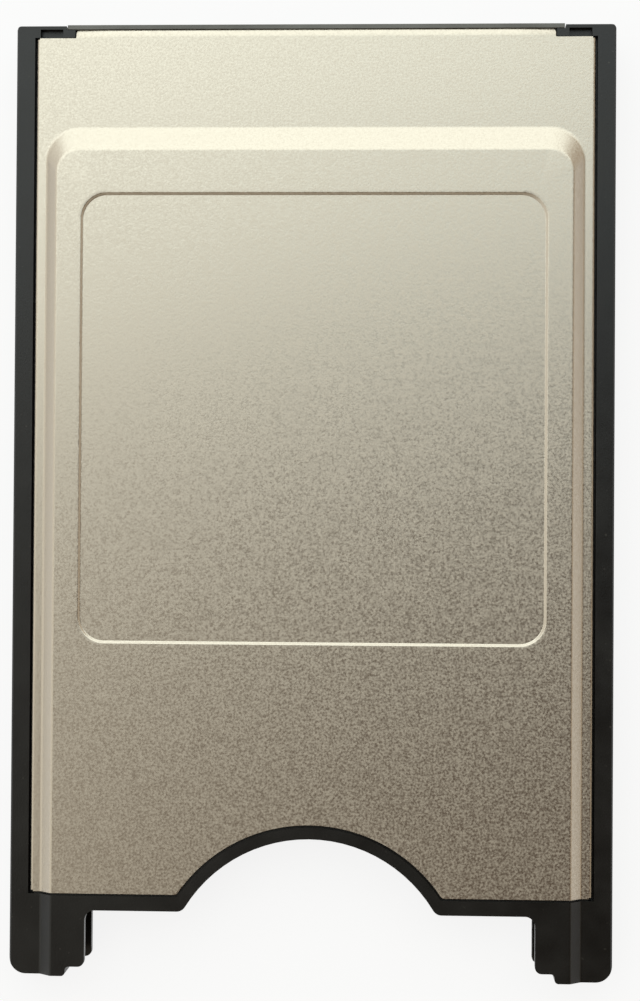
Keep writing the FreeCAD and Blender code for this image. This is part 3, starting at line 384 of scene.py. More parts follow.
def solder_masked_laminate(colours):
    """Glass and epoxy board under a glossy green solder mask, with tracks running end to end under it."""
    material, tree = new_material("solder_masked_laminate")
    place = add_node(tree, "ShaderNodeTexCoord").outputs["Object"]
    # At a scale of 1 a Wave node has 20 / (2 pi) bands to a unit, and the tracks are one contact pitch apart
    bands = 20 / (2 * math.pi)
    tracks = add_node(tree, "ShaderNodeTexWave", {
        "Vector": place,
        "Scale": 1.0 / (ROW_SPACING * bands),
        "Distortion": 1.5,
        "Detail": 0.0,
        "Detail Scale": 0.3,
    }, bands_direction="X").outputs["Fac"]
    copper = add_node(tree, "ShaderNodeMapRange", [tracks, 0.55, 0.62]).outputs[0]
    raised = add_node(tree, "ShaderNodeBump", {"Height": copper, "Distance": 0.035 * MM, "Strength": 0.8})
    weave = grain(tree, 0.5)
    mask = {0: copper, 6: colours.board_green, 7: colours.board_trace}
    colour = add_node(tree, "ShaderNodeMix", mask, data_type="RGBA").outputs[2]
    finished_surface(
        tree, colour, sheen=weave, smoothest=0.16, roughest=0.26,
        skin=weave, depth_mm=0.004, strength=0.4, IOR=1.55, Normal=raised.outputs[0],
    )
    return material


def fired_ceramic(name, body, grains, smoothest, roughest):
    """Fired ceramic of a chip: a dense body with paler grains."""
    material, tree = new_material(name)
    # The fired grains are about 0.01 mm wide, and are drawn 0.1 mm wide so that they show
    powder = grain(tree, 0.1)
    colour = tinted(tree, powder, *NOISE_RANGE, body, grains)
    finished_surface(
        tree, colour, sheen=powder, smoothest=smoothest, roughest=roughest,
        skin=powder, depth_mm=0.004, strength=0.6,
    )
    return material


def fired_capacitor_ceramic(colours):
    """Layered ceramic of the capacitors, fired and tumbled: tan and quite matt."""
    return fired_ceramic("fired_capacitor_ceramic", colours.ceramic_tan, colours.ceramic_pale, 0.5, 0.62)


def fired_resistor_ceramic(colours):
    """Ceramic of the resistors under a fired glass coat: black with a dull sheen."""
    return fired_ceramic("fired_resistor_ceramic", colours.ceramic_black, colours.ceramic_grey, 0.35, 0.47)


def polyester_film(colours):
    """Amber polyester film with adhesive behind it: glossy, with small bubbles and waves."""
    material, tree = new_material("polyester_film")
    bubbles = grain(tree, 1.5, detail=1.0)
    waves = grain(tree, 6.0, detail=1.0)
    colour = tinted(tree, waves, *NOISE_RANGE, colours.film_amber, colours.film_deep)
    finished_surface(
        tree, colour, sheen=bubbles, smoothest=0.12, roughest=0.24, levels=(0.4, 0.7),
        skin=bubbles, depth_mm=0.01, strength=0.5, IOR=1.64,
    )
    return material


def white_paper(colours, glow):
    """Smooth white paper. Camera, mirror and glass rays see it mostly as plain white light, so the ground
    stays pale and still shows the adapter's shadow."""
    material, tree = new_material("white_paper")
    # The fibres are about 0.03 mm thick, and are drawn as clouds 2 mm wide
    fibre = grain(tree, 2.0)
    colour = tinted(tree, fibre, 0.0, 1.0, colours.floor_white, colours.floor_fibre)
    paper = add_node(tree, "ShaderNodeBsdfDiffuse", {"Color": colour})
    light = add_node(tree, "ShaderNodeEmission", {"Color": colours.seen_white, "Strength": 1.0})
    path = add_node(tree, "ShaderNodeLightPath").outputs
    seen = path["Is Camera Ray"]
    for ray in ("Is Glossy Ray", "Is Transmission Ray"):
        seen = add_node(tree, "ShaderNodeMath", [seen, path[ray]], operation="MAXIMUM").outputs[0]
    share = add_node(tree, "ShaderNodeMath", [seen, glow], operation="MULTIPLY").outputs[0]
    both = add_node(tree, "ShaderNodeMixShader", [share, paper.outputs[0], light.outputs[0]])
    add_node(tree, "ShaderNodeOutputMaterial", {"Surface": both.outputs[0]})
    return material


def finish(make, colours):
    """The material that has a making function's name, made the first time it is asked for."""
    return bpy.data.materials.get(make.__name__) or make(colours)


# Pieces and meshes

def keep_piece(piece, slot, *nodes):
    """The piece rides with the adapter and stands for its CAD nodes."""
    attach(piece, "root")
    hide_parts(*nodes)


def new_piece(name, mesh, material):
    mesh.materials.clear()
    mesh.materials.append(material)
    piece = bpy.data.objects.new(name, mesh)
    bpy.context.scene.collection.objects.link(piece)
    return piece


def as_mesh(shape, name):
    mesh = bpy.data.meshes.new(name)
    shape.to_mesh(mesh)
    shape.free()
    return mesh


def finished_mesh(piece):
    """The piece's modifiers taken into its mesh."""
    graph = bpy.context.evaluated_depsgraph_get()
    mesh = bpy.data.meshes.new_from_object(piece.evaluated_get(graph), depsgraph=graph)
    piece.modifiers.clear()
    old = piece.data
    piece.data = mesh
    mesh.name = piece.name
    if old.users == 0:
        bpy.data.meshes.remove(old)


def weight_normals(piece):
    """Flats shade flat, and only bends and edges shade round."""
    for polygon in piece.data.polygons:
        polygon.use_smooth = True
    shading = piece.modifiers.new("flat_faces_first", "WEIGHTED_NORMAL")
    shading.weight = 100
    shading.keep_sharp = True


def round_edges(piece, width, least_turn):
    """Rounds the edges that turn more than least_turn, in degrees."""
    edges = piece.modifiers.new("round_edges", "BEVEL")
    edges.width = width
    edges.segments = 2
    edges.limit_method = "ANGLE"
    edges.angle_limit = math.radians(least_turn)
    edges.miter_outer = "MITER_ARC"


# Outlines of the covers

def slope_outline(half_width, front_y, corner, rear_y, corner_steps=14):
    """Plan of an open outline: up the left side, round two front corners, down the right side.
    Each point is (x, y, share), and the share is 0 on the sides and 1 along the front."""
    points = [(-half_width, rear_y, 0.0)]
    arc = [(step / corner_steps, math.pi / 2 * step / corner_steps) for step in range(corner_steps + 1)]
    for side, turns in ((-1, arc), (1, arc[::-1])):
        for share, angle in turns:
            x = side * (half_width - corner + corner * math.cos(angle))
            y = front_y - corner + corner * math.sin(angle)
            points.append((x, y, share))
    points.append((half_width, rear_y, 0.0))
    return points


def recess_outline(half_width, rear_y, front_y, corner, corner_steps=12):
    """Plan of a closed outline with four round corners, counter-clockwise."""
    centres = [
        (half_width - corner, rear_y + corner, -math.pi / 2),
        (half_width - corner, front_y - corner, 0.0),
        (corner - half_width, front_y - corner, math.pi / 2),
        (corner - half_width, rear_y + corner, math.pi),
    ]
    points = []
    for x, y, start in centres:
        for step in range(corner_steps + 1):
            angle = start + math.pi / 2 * step / corner_steps
            points.append((x + corner * math.cos(angle), y + corner * math.sin(angle)))
    return points


def bend_section(rise, run, radius, bend_steps=6):
    """Section of a stamped slope: (distance in, height) from the foot's flat to the top's flat."""
    turn = math.atan2(rise, run)
    tangent = radius * math.tan(turn / 2)
    foot = []
    for step in range(bend_steps + 1):
        angle = turn * step / bend_steps
        foot.append((radius * math.sin(angle) - tangent, radius * (1 - math.cos(angle))))
    top = [(run - inset, rise - height) for inset, height in reversed(foot)]
    return foot + top


def notch_outline(sizes, rear_y, notch_steps=48, edge_steps=4):
    """Rear edge of the raised area from right to left: straight, small round, notch, small round."""
    centre_y = -CAD_BOX[1][1] - sizes.notch_offset
    radius = sizes.notch_radius
    edge = sizes.notch_edge
    edge_y = rear_y + edge
    edge_x = math.sqrt((radius + edge) ** 2 - (edge_y - centre_y) ** 2)
    meeting = math.atan2(edge_y - centre_y, edge_x)
    right = []
    for step in range(edge_steps + 1):
        angle = -math.pi / 2 - (math.pi / 2 - meeting) * step / edge_steps
        right.append((edge_x + edge * math.cos(angle), edge_y + edge * math.sin(angle)))
    notch = []
    for step in range(1, notch_steps):
        angle = meeting + (math.pi - 2 * meeting) * step / notch_steps
        notch.append((radius * math.cos(angle), centre_y + radius * math.sin(angle)))
    left = [(-x, y) for x, y in reversed(right)]
    return right + notch + left


# Covers

def strip(mesh, first, second):
    """Faces between two rows of vertices with the same count."""
    for i in range(len(first) - 1):
        mesh.faces.new((first[i], first[i + 1], second[i + 1], second[i]))


def fill_flat(mesh, loops):
    """Triangles that fill the flat area inside closed loops of vertices."""
    edges = []
    for loop in loops:
        for a, b in zip(loop, loop[1:] + loop[:1]):
            edges.append(mesh.edges.get((a, b)) or mesh.edges.new((a, b)))
    bmesh.ops.triangle_fill(mesh, edges=edges, use_beauty=True, use_dissolve=False, normal=(0, 0, 1))


def stamp_slope(mesh, sizes, foot_x, foot_y, shelf_z):
    """Slope of the raised area, steep at the sides and shallow at the front. Returns its rows, foot first."""
    side = bend_section(sizes.raised_height, sizes.side_run, sizes.side_bend)
    front = bend_section(sizes.raised_height, sizes.front_run, sizes.front_bend)
    rows = []
    for (side_in, side_up), (front_in, front_up) in zip(side, front):
        share = side_up / sizes.raised_height
        corner = sizes.foot_corner + share * (sizes.top_corner - sizes.foot_corner)
        plan = slope_outline(foot_x - side_in, foot_y - front_in, corner, COVER_LOW[1])
        heights = [shelf_z + side_up + ahead * (front_up - side_up) for _, _, ahead in plan]
        rows.append([mesh.verts.new((x, y, z)) for (x, y, _), z in zip(plan, heights)])
    for outer, inner in zip(rows, rows[1:]):
        strip(mesh, outer, inner)
    return rows


def roll_tongue(mesh, sizes, root, root_xs, root_y, shelf_z):
    """Front tongue, rolled down from its root to its end, with round corners."""
    steps = 5
    corner_start = 0.4
    roll_power = 1.6
    previous = root
    for step in range(1, steps + 1):
        share = step / steps
        into_corner = max(0.0, (share - corner_start) / (1 - corner_start))
        pull = sizes.tongue_corner * (1 - math.sqrt(1 - into_corner ** 2))
        narrowing = (sizes.tongue_half - pull) / sizes.tongue_half
        y = root_y + (COVER_HIGH[1] - root_y) * share
        z = shelf_z - sizes.tongue_drop * share ** roll_power
        row = [mesh.verts.new((x * narrowing, y, z)) for x in root_xs]
        strip(mesh, previous, row)
        previous = row


def bend_skirt(mesh, sizes, shelf_edge, ys, sign, shelf_z):
    """Skirt down from the shelf's edge: a round bend and an upright, with a window for each snap tooth."""
    bend_steps = 6
    side_x = COVER_HIGH[0]
    previous = shelf_edge
    for step in range(1, bend_steps + 1):
        turn = math.pi / 2 * step / bend_steps
        x = side_x - sizes.skirt_bend * (1 - math.sin(turn))
        z = shelf_z - sizes.skirt_bend * (1 - math.cos(turn))
        row = [mesh.verts.new((sign * x, y, z)) for y in ys]
        strip(mesh, previous, row)
        previous = row
    sill = [mesh.verts.new((sign * side_x, y, COVER_LOW[2] + sizes.window_strip)) for y in ys]
    foot = [mesh.verts.new((sign * side_x, y, COVER_LOW[2])) for y in ys]
    strip(mesh, sill, foot)
    for i in range(0, len(ys), 2):
        strip(mesh, previous[i:i + 2], sill[i:i + 2])


def press_recess(mesh, sizes, half_width, front_y):
    """Label recess: an S-shaped wall all round and a flat floor. Returns its outermost ring, which lies in
    the flat and keeps the wall's shading out of it."""
    wall_steps = 8
    wall_lead = 0.1
    stations = [(-sizes.recess_wall, TOP_Z)]
    for step in range(wall_steps + 1):
        share = step / wall_steps
        depth = sizes.recess_depth * (1 - math.cos(math.pi * share)) / 2
        stations.append((sizes.recess_wall * (share - wall_lead), TOP_Z - depth))
    rear_y = front_y - sizes.recess_length
    walls = []
    for inset, z in stations:
        corner = sizes.recess_corner - inset
        plan = recess_outline(half_width - inset, rear_y + inset, front_y - inset, corner)
        walls.append([mesh.verts.new((x, y, z)) for x, y in plan])
    for outer, inner in zip(walls, walls[1:]):
        strip(mesh, outer + outer[:1], inner + inner[:1])
    mesh.faces.new(walls[-1])
    return walls[0]


def cover_sheet(sizes):
    """Outer skin of the upper cover, before it gets its thickness."""
    mesh = bmesh.new()
    rear_y, front_y = COVER_LOW[1], COVER_HIGH[1]
    shelf_z = TOP_Z - sizes.raised_height
    flat_x = COVER_HIGH[0] - sizes.skirt_bend
    shoulder_y = front_y - sizes.tongue_length
    foot_x = COVER_HIGH[0] - sizes.shelf_width
    foot_y = CAD_BOX[1][1] - sizes.shelf_length
    slope = stamp_slope(mesh, sizes, foot_x, foot_y, shelf_z)

    # Flat shelf round the slope, out to the skirts' bends and to the tongue
    skirt_ys = [rear_y + sizes.skirt_end]
    for place in range(sizes.snap_count):
        middle = rear_y + sizes.snap_margin + place * sizes.snap_pitch
        skirt_ys += [middle - sizes.window_length / 2, middle + sizes.window_length / 2]
    skirt_ys.append(shoulder_y - sizes.skirt_end)
    fillet = sizes.tongue_fillet
    fillet_middle = fillet * 0.3
    plan = [(flat_x, rear_y), *((flat_x, y) for y in skirt_ys), (flat_x, shoulder_y)]
    plan.append((sizes.tongue_half + fillet, shoulder_y))
    plan.append((sizes.tongue_half + fillet_middle, shoulder_y + fillet_middle))
    right = [mesh.verts.new((x, y, shelf_z)) for x, y in plan]
    left = [mesh.verts.new((-x, y, shelf_z)) for x, y in plan]
    root_count = 12
    root_xs = [sizes.tongue_half * (1 - 2 * i / root_count) for i in range(root_count + 1)]
    root_y = shoulder_y + fillet
    root = [mesh.verts.new((x, root_y, shelf_z)) for x in root_xs]
    fill_flat(mesh, [right + root + left[::-1] + slope[0]])

    roll_tongue(mesh, sizes, root, root_xs, root_y, shelf_z)
    for verts, sign in ((right, 1), (left, -1)):
        bend_skirt(mesh, sizes, verts[1:1 + len(skirt_ys)], skirt_ys, sign, shelf_z)

    # Raised flat between the slope, the notch and the recess
    recess_x = foot_x - sizes.side_run - sizes.recess_margin
    recess_front = foot_y - sizes.front_run - sizes.recess_setback
    ring = press_recess(mesh, sizes, recess_x, recess_front)
    notch = [mesh.verts.new((x, y, TOP_Z)) for x, y in notch_outline(sizes, rear_y)]
    fill_flat(mesh, [slope[-1] + notch, ring])

    bmesh.ops.recalc_face_normals(mesh, faces=mesh.faces)
    mesh.faces.ensure_lookup_table()
    if max(mesh.faces, key=lambda face: face.calc_area()).normal.z < 0:
        bmesh.ops.reverse_faces(mesh, faces=mesh.faces)
    return mesh


class StampCovers(bpy.types.Operator):
    """Stamps the upper cover, and the lower one as the same sheet turned over"""

    bl_idname = "card_adapter.stamp_covers"
    bl_label = "Stamp Covers"

    def execute(self, context):
        sizes = context.scene.card_adapter_covers
        colours = context.scene.card_adapter_finishes
        material = finish(satin_nickel_plated_steel, colours)
        turned_over = Matrix.Translation((0, 0, TOP_Z)) @ Matrix.Rotation(math.pi, 4, "Y")
        for name, node, place in (
            ("upper_cover_sheet", "upper_cover", Matrix.Identity(4)),
            ("lower_cover_sheet", "lower_cover", turned_over),
        ):
            piece = new_piece(name, as_mesh(cover_sheet(sizes), name), material)
            wall = piece.modifiers.new("sheet_thickness", "SOLIDIFY")
            wall.thickness = sizes.sheet
            wall.offset = -1.0
            wall.use_even_offset = True
            round_edges(piece, sizes.burr, SHEET_EDGE_TURN)
            finished_mesh(piece)
            piece.data.transform(place)
            weight_normals(piece)
            finished_mesh(piece)
            keep_piece(piece, "cover_steel", node)
        return {"FINISHED"}


# Mouldings

def merge_flats(shape):
    """Merges the triangles of each flat into one face, apart from a flat that holes go through."""
    seen = set()
    inner_edges = set()
    for start in shape.faces:
        if start in seen:
            continue
        flat, crossed, waiting = {start}, set(), [start]
        while waiting:
            for edge in waiting.pop().edges:
                if len(edge.link_faces) == 2 and edge.calc_face_angle() < FLAT_TURN:
                    crossed.add(edge)
                    fresh = [face for face in edge.link_faces if face not in flat]
                    flat.update(fresh)
                    waiting.extend(fresh)
        seen |= flat
        corners = {vert for face in flat for vert in face.verts}
        edges = {edge for face in flat for edge in face.edges}
        if len(corners) - len(edges) + len(flat) == 1:
            inner_edges |= crossed

    # The edges go in the mesh's own order, so that each run merges them alike
    ordered = [edge for edge in shape.edges if edge in inner_edges]
    bmesh.ops.dissolve_limit(shape, angle_limit=FLAT_TURN, verts=shape.verts, edges=ordered)


def mould(node, name, material, edge, slot):
    """A copy of a CAD node with its flat faces merged and its edges rounded."""
    shape = bmesh.new()
    shape.from_mesh(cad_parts[node].data)
    bmesh.ops.remove_doubles(shape, verts=shape.verts, dist=MERGE_DISTANCE)
    merge_flats(shape)
    piece = new_piece(name, as_mesh(shape, name), material)
    round_edges(piece, edge, MOULDING_EDGE_TURN)
    finished_mesh(piece)
    weight_normals(piece)
    finished_mesh(piece)
    keep_piece(piece, slot, node)


class MouldFrame(bpy.types.Operator):
    """Moulds the black frame with softly rounded edges"""

    bl_idname = "card_adapter.mould_frame"
    bl_label = "Mould Frame"

    def execute(self, context):
        colours = context.scene.card_adapter_finishes
        black = finish(moulded_black_nylon, colours)
        edge = context.scene.card_adapter_mouldings.frame_edge
        mould("frame", "frame_moulding", black, edge, "frame_plastic")
        return {"FINISHED"}


class MouldConnectors(bpy.types.Operator):
    """Moulds the host receptacle and the card header"""

    bl_idname = "card_adapter.mould_connectors"
    bl_label = "Mould Connectors"

    def execute(self, context):
        colours = context.scene.card_adapter_finishes
        sizes = context.scene.card_adapter_mouldings
        grey = finish(moulded_grey_polyester, colours)
        black = finish(moulded_black_polymer, colours)
        mould("host_connector_housing", "host_receptacle", grey, sizes.host_edge, "connector_plastic")
        mould("card_header_housing", "card_header", black, sizes.header_edge, "header_plastic")
        return {"FINISHED"}


# Pins and contacts

def tree_inputs(tree, sizes):
    """Gives a Geometry Nodes tree its named inputs and its output. Returns the inputs' sockets by name."""
    kinds = {"LENGTH": "NodeSocketFloat", "COUNT": "NodeSocketInt", "MATERIAL": "NodeSocketMaterial"}
    for name, kind in sizes.items():
        tree.interface.new_socket(name, in_out="INPUT", socket_type=kinds[kind])
    tree.interface.new_socket("Geometry", in_out="OUTPUT", socket_type="NodeSocketGeometry")
    return dict(add_node(tree, "NodeGroupInput").outputs.items())


def work_out(tree, given, sums):
    """Adds values to the given ones by name, each worked out from two that are there, or from a number."""
    for name, operation, *terms in sums:
        pair = [given.get(term, term) for term in terms]
        given[name] = add_node(tree, "ShaderNodeMath", pair, operation=operation).outputs[0]


def run_tree(name, tree, values):
    """A piece made by a Geometry Nodes tree with these values, as a plain mesh."""
    piece = bpy.data.objects.new(name, bpy.data.meshes.new(name))
    bpy.context.scene.collection.objects.link(piece)
    modifier = piece.modifiers.new(name, "NODES")
    modifier.node_group = tree
    for item in tree.interface.items_tree:
        if item.in_out == "INPUT":
            modifier[item.identifier] = values[item.name]
    finished_mesh(piece)
    return piece


def path_curve(tree, given, stations):
    """A curve in the plane of Y and Z, made from a line of vertices moved to its stations. Each station is
    (y, z, width), with y and z as names of given values, or z as a number."""
    line = add_node(tree, "GeometryNodeMeshLine", {"Count": len(stations)})
    index = add_node(tree, "GeometryNodeInputIndex").outputs[0]
    places = add_node(tree, "GeometryNodeIndexSwitch", data_type="VECTOR")
    widths = add_node(tree, "GeometryNodeIndexSwitch", data_type="FLOAT")
    for switch in (places, widths):
        while len(switch.index_switch_items) < len(stations):
            switch.index_switch_items.new()
        tree.links.new(index, switch.inputs[0])
    for i, (y, z, width) in enumerate(stations, 1):
        place = add_node(tree, "ShaderNodeCombineXYZ", [0.0, given[y], given.get(z, z)]).outputs[0]
        tree.links.new(place, places.inputs[i])
        widths.inputs[i].default_value = width
    moved = add_node(tree, "GeometryNodeSetPosition", {
        "Geometry": line.outputs[0], "Position": places.outputs[0],
    }).outputs[0]
    curve = add_node(tree, "GeometryNodeMeshToCurve", {"Mesh": moved}).outputs[0]
    return add_node(tree, "GeometryNodeSetCurveRadius", {
        "Curve": curve, "Radius": widths.outputs[0],
    }).outputs[0]


def pin_row(tree, given, pin):
    """A row of the same pin along X, centred on the adapter, as instances."""
    work_out(tree, given, (
        ("gaps", "SUBTRACT", "Columns", 1.0),
        ("span", "MULTIPLY", "gaps", "Pitch"),
        ("left", "MULTIPLY", "span", -0.5),
    ))
    corner = [given["left"], given["Face"], given["Row Height"]]
    start = add_node(tree, "ShaderNodeCombineXYZ", corner).outputs[0]
    step = add_node(tree, "ShaderNodeCombineXYZ", [given["Pitch"], 0.0, 0.0]).outputs[0]
    places = add_node(tree, "GeometryNodeMeshLine", {
        "Count": given["Columns"], "Start Location": start, "Offset": step,
    }).outputs[0]
    return add_node(tree, "GeometryNodeInstanceOnPoints", {"Points": places, "Instance": pin}).outputs[0]


def close_tree(tree, given, row):
    """Adds the same row turned over below the middle, and ends the tree in real geometry."""
    under = add_node(tree, "GeometryNodeTransform", {"Geometry": row, "Rotation": (0, math.pi, 0)})
    pair = add_node(tree, "GeometryNodeJoinGeometry")
    tree.links.new(row, pair.inputs[0])
    tree.links.new(under.outputs[0], pair.inputs[0])
    lift = add_node(tree, "ShaderNodeCombineXYZ", [0.0, 0.0, given["Middle Height"]]).outputs[0]
    placed = add_node(tree, "GeometryNodeTransform", {"Geometry": pair.outputs[0], "Translation": lift})
    real = add_node(tree, "GeometryNodeRealizeInstances", {"Geometry": placed.outputs[0]})
    shown = add_node(tree, "GeometryNodeSetMaterial", {
        "Geometry": real.outputs[0], "Material": given["Material"],
    })
    add_node(tree, "NodeGroupOutput", {"Geometry": shown.outputs[0]})


def header_pin_tree():
    """Two rows of square pins with tapered tips, of three lengths, and their solder tails."""
    tree = bpy.data.node_groups.new("header_pin_rows", "GeometryNodeTree")
    given = tree_inputs(tree, {
        "Columns": "COUNT", "Pitch": "LENGTH", "Row Height": "LENGTH", "Middle Height": "LENGTH",
        "Face": "LENGTH", "Housing Depth": "LENGTH", "Pin Size": "LENGTH", "Corner": "LENGTH",
        "Taper": "LENGTH", "Signal Length": "LENGTH", "Long Lead": "LENGTH", "Short Lag": "LENGTH",
        "Tail": "LENGTH", "Tail Bend": "LENGTH", "Tail Drop": "LENGTH", "Material": "MATERIAL",
    })

    # One signal pin, from its tip through the housing to its tail, and a mark on the tip's half
    work_out(tree, given, (
        ("tip", "MULTIPLY", "Signal Length", -1.0),
        ("half", "MULTIPLY", "tip", 0.5),
        ("shank", "ADD", "tip", "Taper"),
        ("bend", "ADD", "Housing Depth", "Tail Bend"),
        ("end", "ADD", "Housing Depth", "Tail"),
        ("low", "MULTIPLY", "Tail Drop", -1.0),
    ))
    curve = path_curve(tree, given, (
        ("tip", 0.0, TIP_SHARE),
        ("shank", 0.0, 1.0),
        ("Housing Depth", 0.0, 1.0),
        ("bend", "low", TAIL_SHARE),
        ("end", "low", TAIL_SHARE),
    ))
    square = add_node(tree, "GeometryNodeCurvePrimitiveQuadrilateral", {
        "Width": given["Pin Size"], "Height": given["Pin Size"],
    }).outputs[0]
    section = add_node(tree, "GeometryNodeFilletCurve", {
        "Curve": square, "Count": 2, "Radius": given["Corner"],
    }, mode="POLY").outputs[0]
    width = add_node(tree, "GeometryNodeInputRadius").outputs[0]
    pin = add_node(tree, "GeometryNodeCurveToMesh", {
        "Curve": curve, "Profile Curve": section, "Scale": width, "Fill Caps": True,
    }).outputs[0]
    here = add_node(tree, "GeometryNodeInputPosition").outputs[0]
    along = add_node(tree, "ShaderNodeSeparateXYZ", [here]).outputs["Y"]
    is_tip = add_node(tree, "FunctionNodeCompare", [along, given["half"]], operation="LESS_THAN").outputs[0]
    pin = add_node(tree, "GeometryNodeStoreNamedAttribute", {
        "Geometry": pin, "Name": "tip", "Value": is_tip,
    }, data_type="BOOLEAN", domain="POINT").outputs[0]
    row = pin_row(tree, given, pin)

    # The first and the middle pin of a row stand further out, and the last one stands out less
    given["index"] = add_node(tree, "GeometryNodeInputIndex").outputs[0]
    work_out(tree, given, (
        ("last", "SUBTRACT", "Columns", 1.0),
        ("middle", "MULTIPLY", "last", 0.5),
        ("is first", "COMPARE", "index", 0.0),
        ("is middle", "COMPARE", "index", "middle"),
        ("is last", "COMPARE", "index", "last"),
        ("is long", "MAXIMUM", "is first", "is middle"),
        ("lead", "MULTIPLY", "is long", "Long Lead"),
        ("lag", "MULTIPLY", "is last", "Short Lag"),
        ("change", "SUBTRACT", "lag", "lead"),
    ))
    row = add_node(tree, "GeometryNodeStoreNamedAttribute", {
        "Geometry": row, "Name": "change", "Value": given["change"],
    }, data_type="FLOAT", domain="INSTANCE").outputs[0]
    row = add_node(tree, "GeometryNodeRealizeInstances", {"Geometry": row}).outputs[0]
    marked, moved = (
        add_node(tree, "GeometryNodeInputNamedAttribute", {"Name": name}, data_type=kind).outputs[0]
        for name, kind in (("tip", "BOOLEAN"), ("change", "FLOAT"))
    )
    shift = add_node(tree, "ShaderNodeCombineXYZ", [0.0, moved, 0.0]).outputs[0]
    row = add_node(tree, "GeometryNodeSetPosition", {
        "Geometry": row, "Selection": marked, "Offset": shift,
    }).outputs[0]
    for name in ("tip", "change"):
        row = add_node(tree, "GeometryNodeRemoveAttribute", {"Geometry": row, "Name": name}).outputs[0]
    close_tree(tree, given, row)
    return tree


def host_contact_tree():
    """Two rows of two-beam contacts that stand in the receptacle's cavities, with their solder tails."""
    tree = bpy.data.node_groups.new("host_contact_rows", "GeometryNodeTree")
    given = tree_inputs(tree, {
        "Columns": "COUNT", "Pitch": "LENGTH", "Row Height": "LENGTH", "Middle Height": "LENGTH",
        "Face": "LENGTH", "Depth": "LENGTH", "Setback": "LENGTH", "Beam Length": "LENGTH",
        "Beam Width": "LENGTH", "Beam Stock": "LENGTH", "Mouth": "LENGTH", "Throat": "LENGTH",
        "Tail": "LENGTH", "Tail Bend": "LENGTH", "Tail Drop": "LENGTH", "Material": "MATERIAL",
    })
    work_out(tree, given, (
        ("tip", "MULTIPLY", "Setback", -1.0),
        ("throat", "MULTIPLY", "Setback", -THROAT_SETBACKS),
        ("root", "SUBTRACT", "tip", "Beam Length"),
        ("inner", "ADD", "root", "Tail Bend"),
        ("back", "MULTIPLY", "Depth", -1.0),
        ("bend", "SUBTRACT", "back", "Tail Bend"),
        ("end", "SUBTRACT", "back", "Tail"),
        ("low", "MULTIPLY", "Tail Drop", -1.0),
        ("double stock", "MULTIPLY", "Beam Stock", 2.0),
    ))
    beam_section, tail_section = (
        add_node(tree, "GeometryNodeCurvePrimitiveQuadrilateral", {
            "Width": given["Beam Width"], "Height": given[height],
        }).outputs[0]
        for height in ("Beam Stock", "double stock")
    )
    paths = []
    for sign in (1.0, -1.0):
        work_out(tree, given, (
            ("mouth z", "MULTIPLY", "Mouth", sign),
            ("throat z", "MULTIPLY", "Throat", sign),
            ("root z", "MULTIPLY", "mouth z", ROOT_SHARE),
        ))
        beam = (("tip", "mouth z", 1.0), ("throat", "throat z", 1.0), ("root", "root z", 1.0))
        paths.append((path_curve(tree, given, beam), beam_section))
    tail = (("inner", 0.0, 1.0), ("back", 0.0, 1.0), ("bend", "low", 1.0), ("end", "low", 1.0))
    paths.append((path_curve(tree, given, tail), tail_section))
    contact = add_node(tree, "GeometryNodeJoinGeometry")
    for curve, section in paths:
        strip_of_metal = add_node(tree, "GeometryNodeCurveToMesh", {
            "Curve": curve, "Profile Curve": section, "Fill Caps": True,
        })
        tree.links.new(strip_of_metal.outputs[0], contact.inputs[0])
    close_tree(tree, given, pin_row(tree, given, contact.outputs[0]))
    return tree


class FormHeaderPins(bpy.types.Operator):
    """Forms the two rows of header pins, of three lengths"""

    bl_idname = "card_adapter.form_header_pins"
    bl_label = "Form Header Pins"

    def execute(self, context):
        sizes = context.scene.card_adapter_contacts
        colours = context.scene.card_adapter_finishes
        piece = run_tree("header_pins", header_pin_tree(), {
            "Columns": sizes.header_columns,
            "Pitch": sizes.pitch,
            "Row Height": ROW_SPACING / 2,
            "Middle Height": MID_Z,
            "Face": HEADER_LOW[1],
            "Housing Depth": HEADER_HIGH[1] - HEADER_LOW[1],
            "Pin Size": sizes.pin_size,
            "Corner": sizes.pin_corner,
            "Taper": sizes.pin_taper,
            "Signal Length": sizes.signal_length,
            "Long Lead": sizes.long_extra,
            "Short Lag": sizes.short_lack,
            "Tail": sizes.tail_length,
            "Tail Bend": sizes.tail_bend,
            "Tail Drop": ROW_SPACING / 2 - BOARD_HALF - sizes.pin_size * TAIL_SHARE / 2,
            "Material": finish(gold_plated_bronze, colours),
        })
        keep_piece(
            piece, "plated_pins", "header_ground_pins", "header_power_pins", "header_detect_pins",
            "header_signal_pins_lower", "header_signal_pins_upper",
        )
        return {"FINISHED"}


class FormHostContacts(bpy.types.Operator):
    """Forms the two rows of two-beam contacts in the host receptacle"""

    bl_idname = "card_adapter.form_host_contacts"
    bl_label = "Form Host Contacts"

    def execute(self, context):
        sizes = context.scene.card_adapter_contacts
        colours = context.scene.card_adapter_finishes
        piece = run_tree("host_contacts", host_contact_tree(), {
            "Columns": sizes.host_columns,
            "Pitch": sizes.pitch,
            "Row Height": ROW_SPACING / 2,
            "Middle Height": MID_Z,
            "Face": HOST_HIGH[1],
            "Depth": HOST_HIGH[1] - HOST_LOW[1],
            "Setback": sizes.contact_setback,
            "Beam Length": sizes.beam_length,
            "Beam Width": sizes.beam_width,
            "Beam Stock": sizes.beam_stock,
            "Mouth": sizes.beam_mouth,
            "Throat": sizes.beam_throat,
            "Tail": sizes.tail_length,
            "Tail Bend": sizes.tail_bend,
            "Tail Drop": ROW_SPACING / 2 - BOARD_HALF - sizes.beam_stock,
            "Material": finish(gold_plated_bronze, colours),
        })
        keep_piece(
            piece, "plated_contacts", "host_ground_contacts", "host_power_contacts",
            "host_programming_contacts", "host_detect_contacts", "host_signal_contacts_lower",
            "host_signal_contacts_upper",
        )
        return {"FINISHED"}


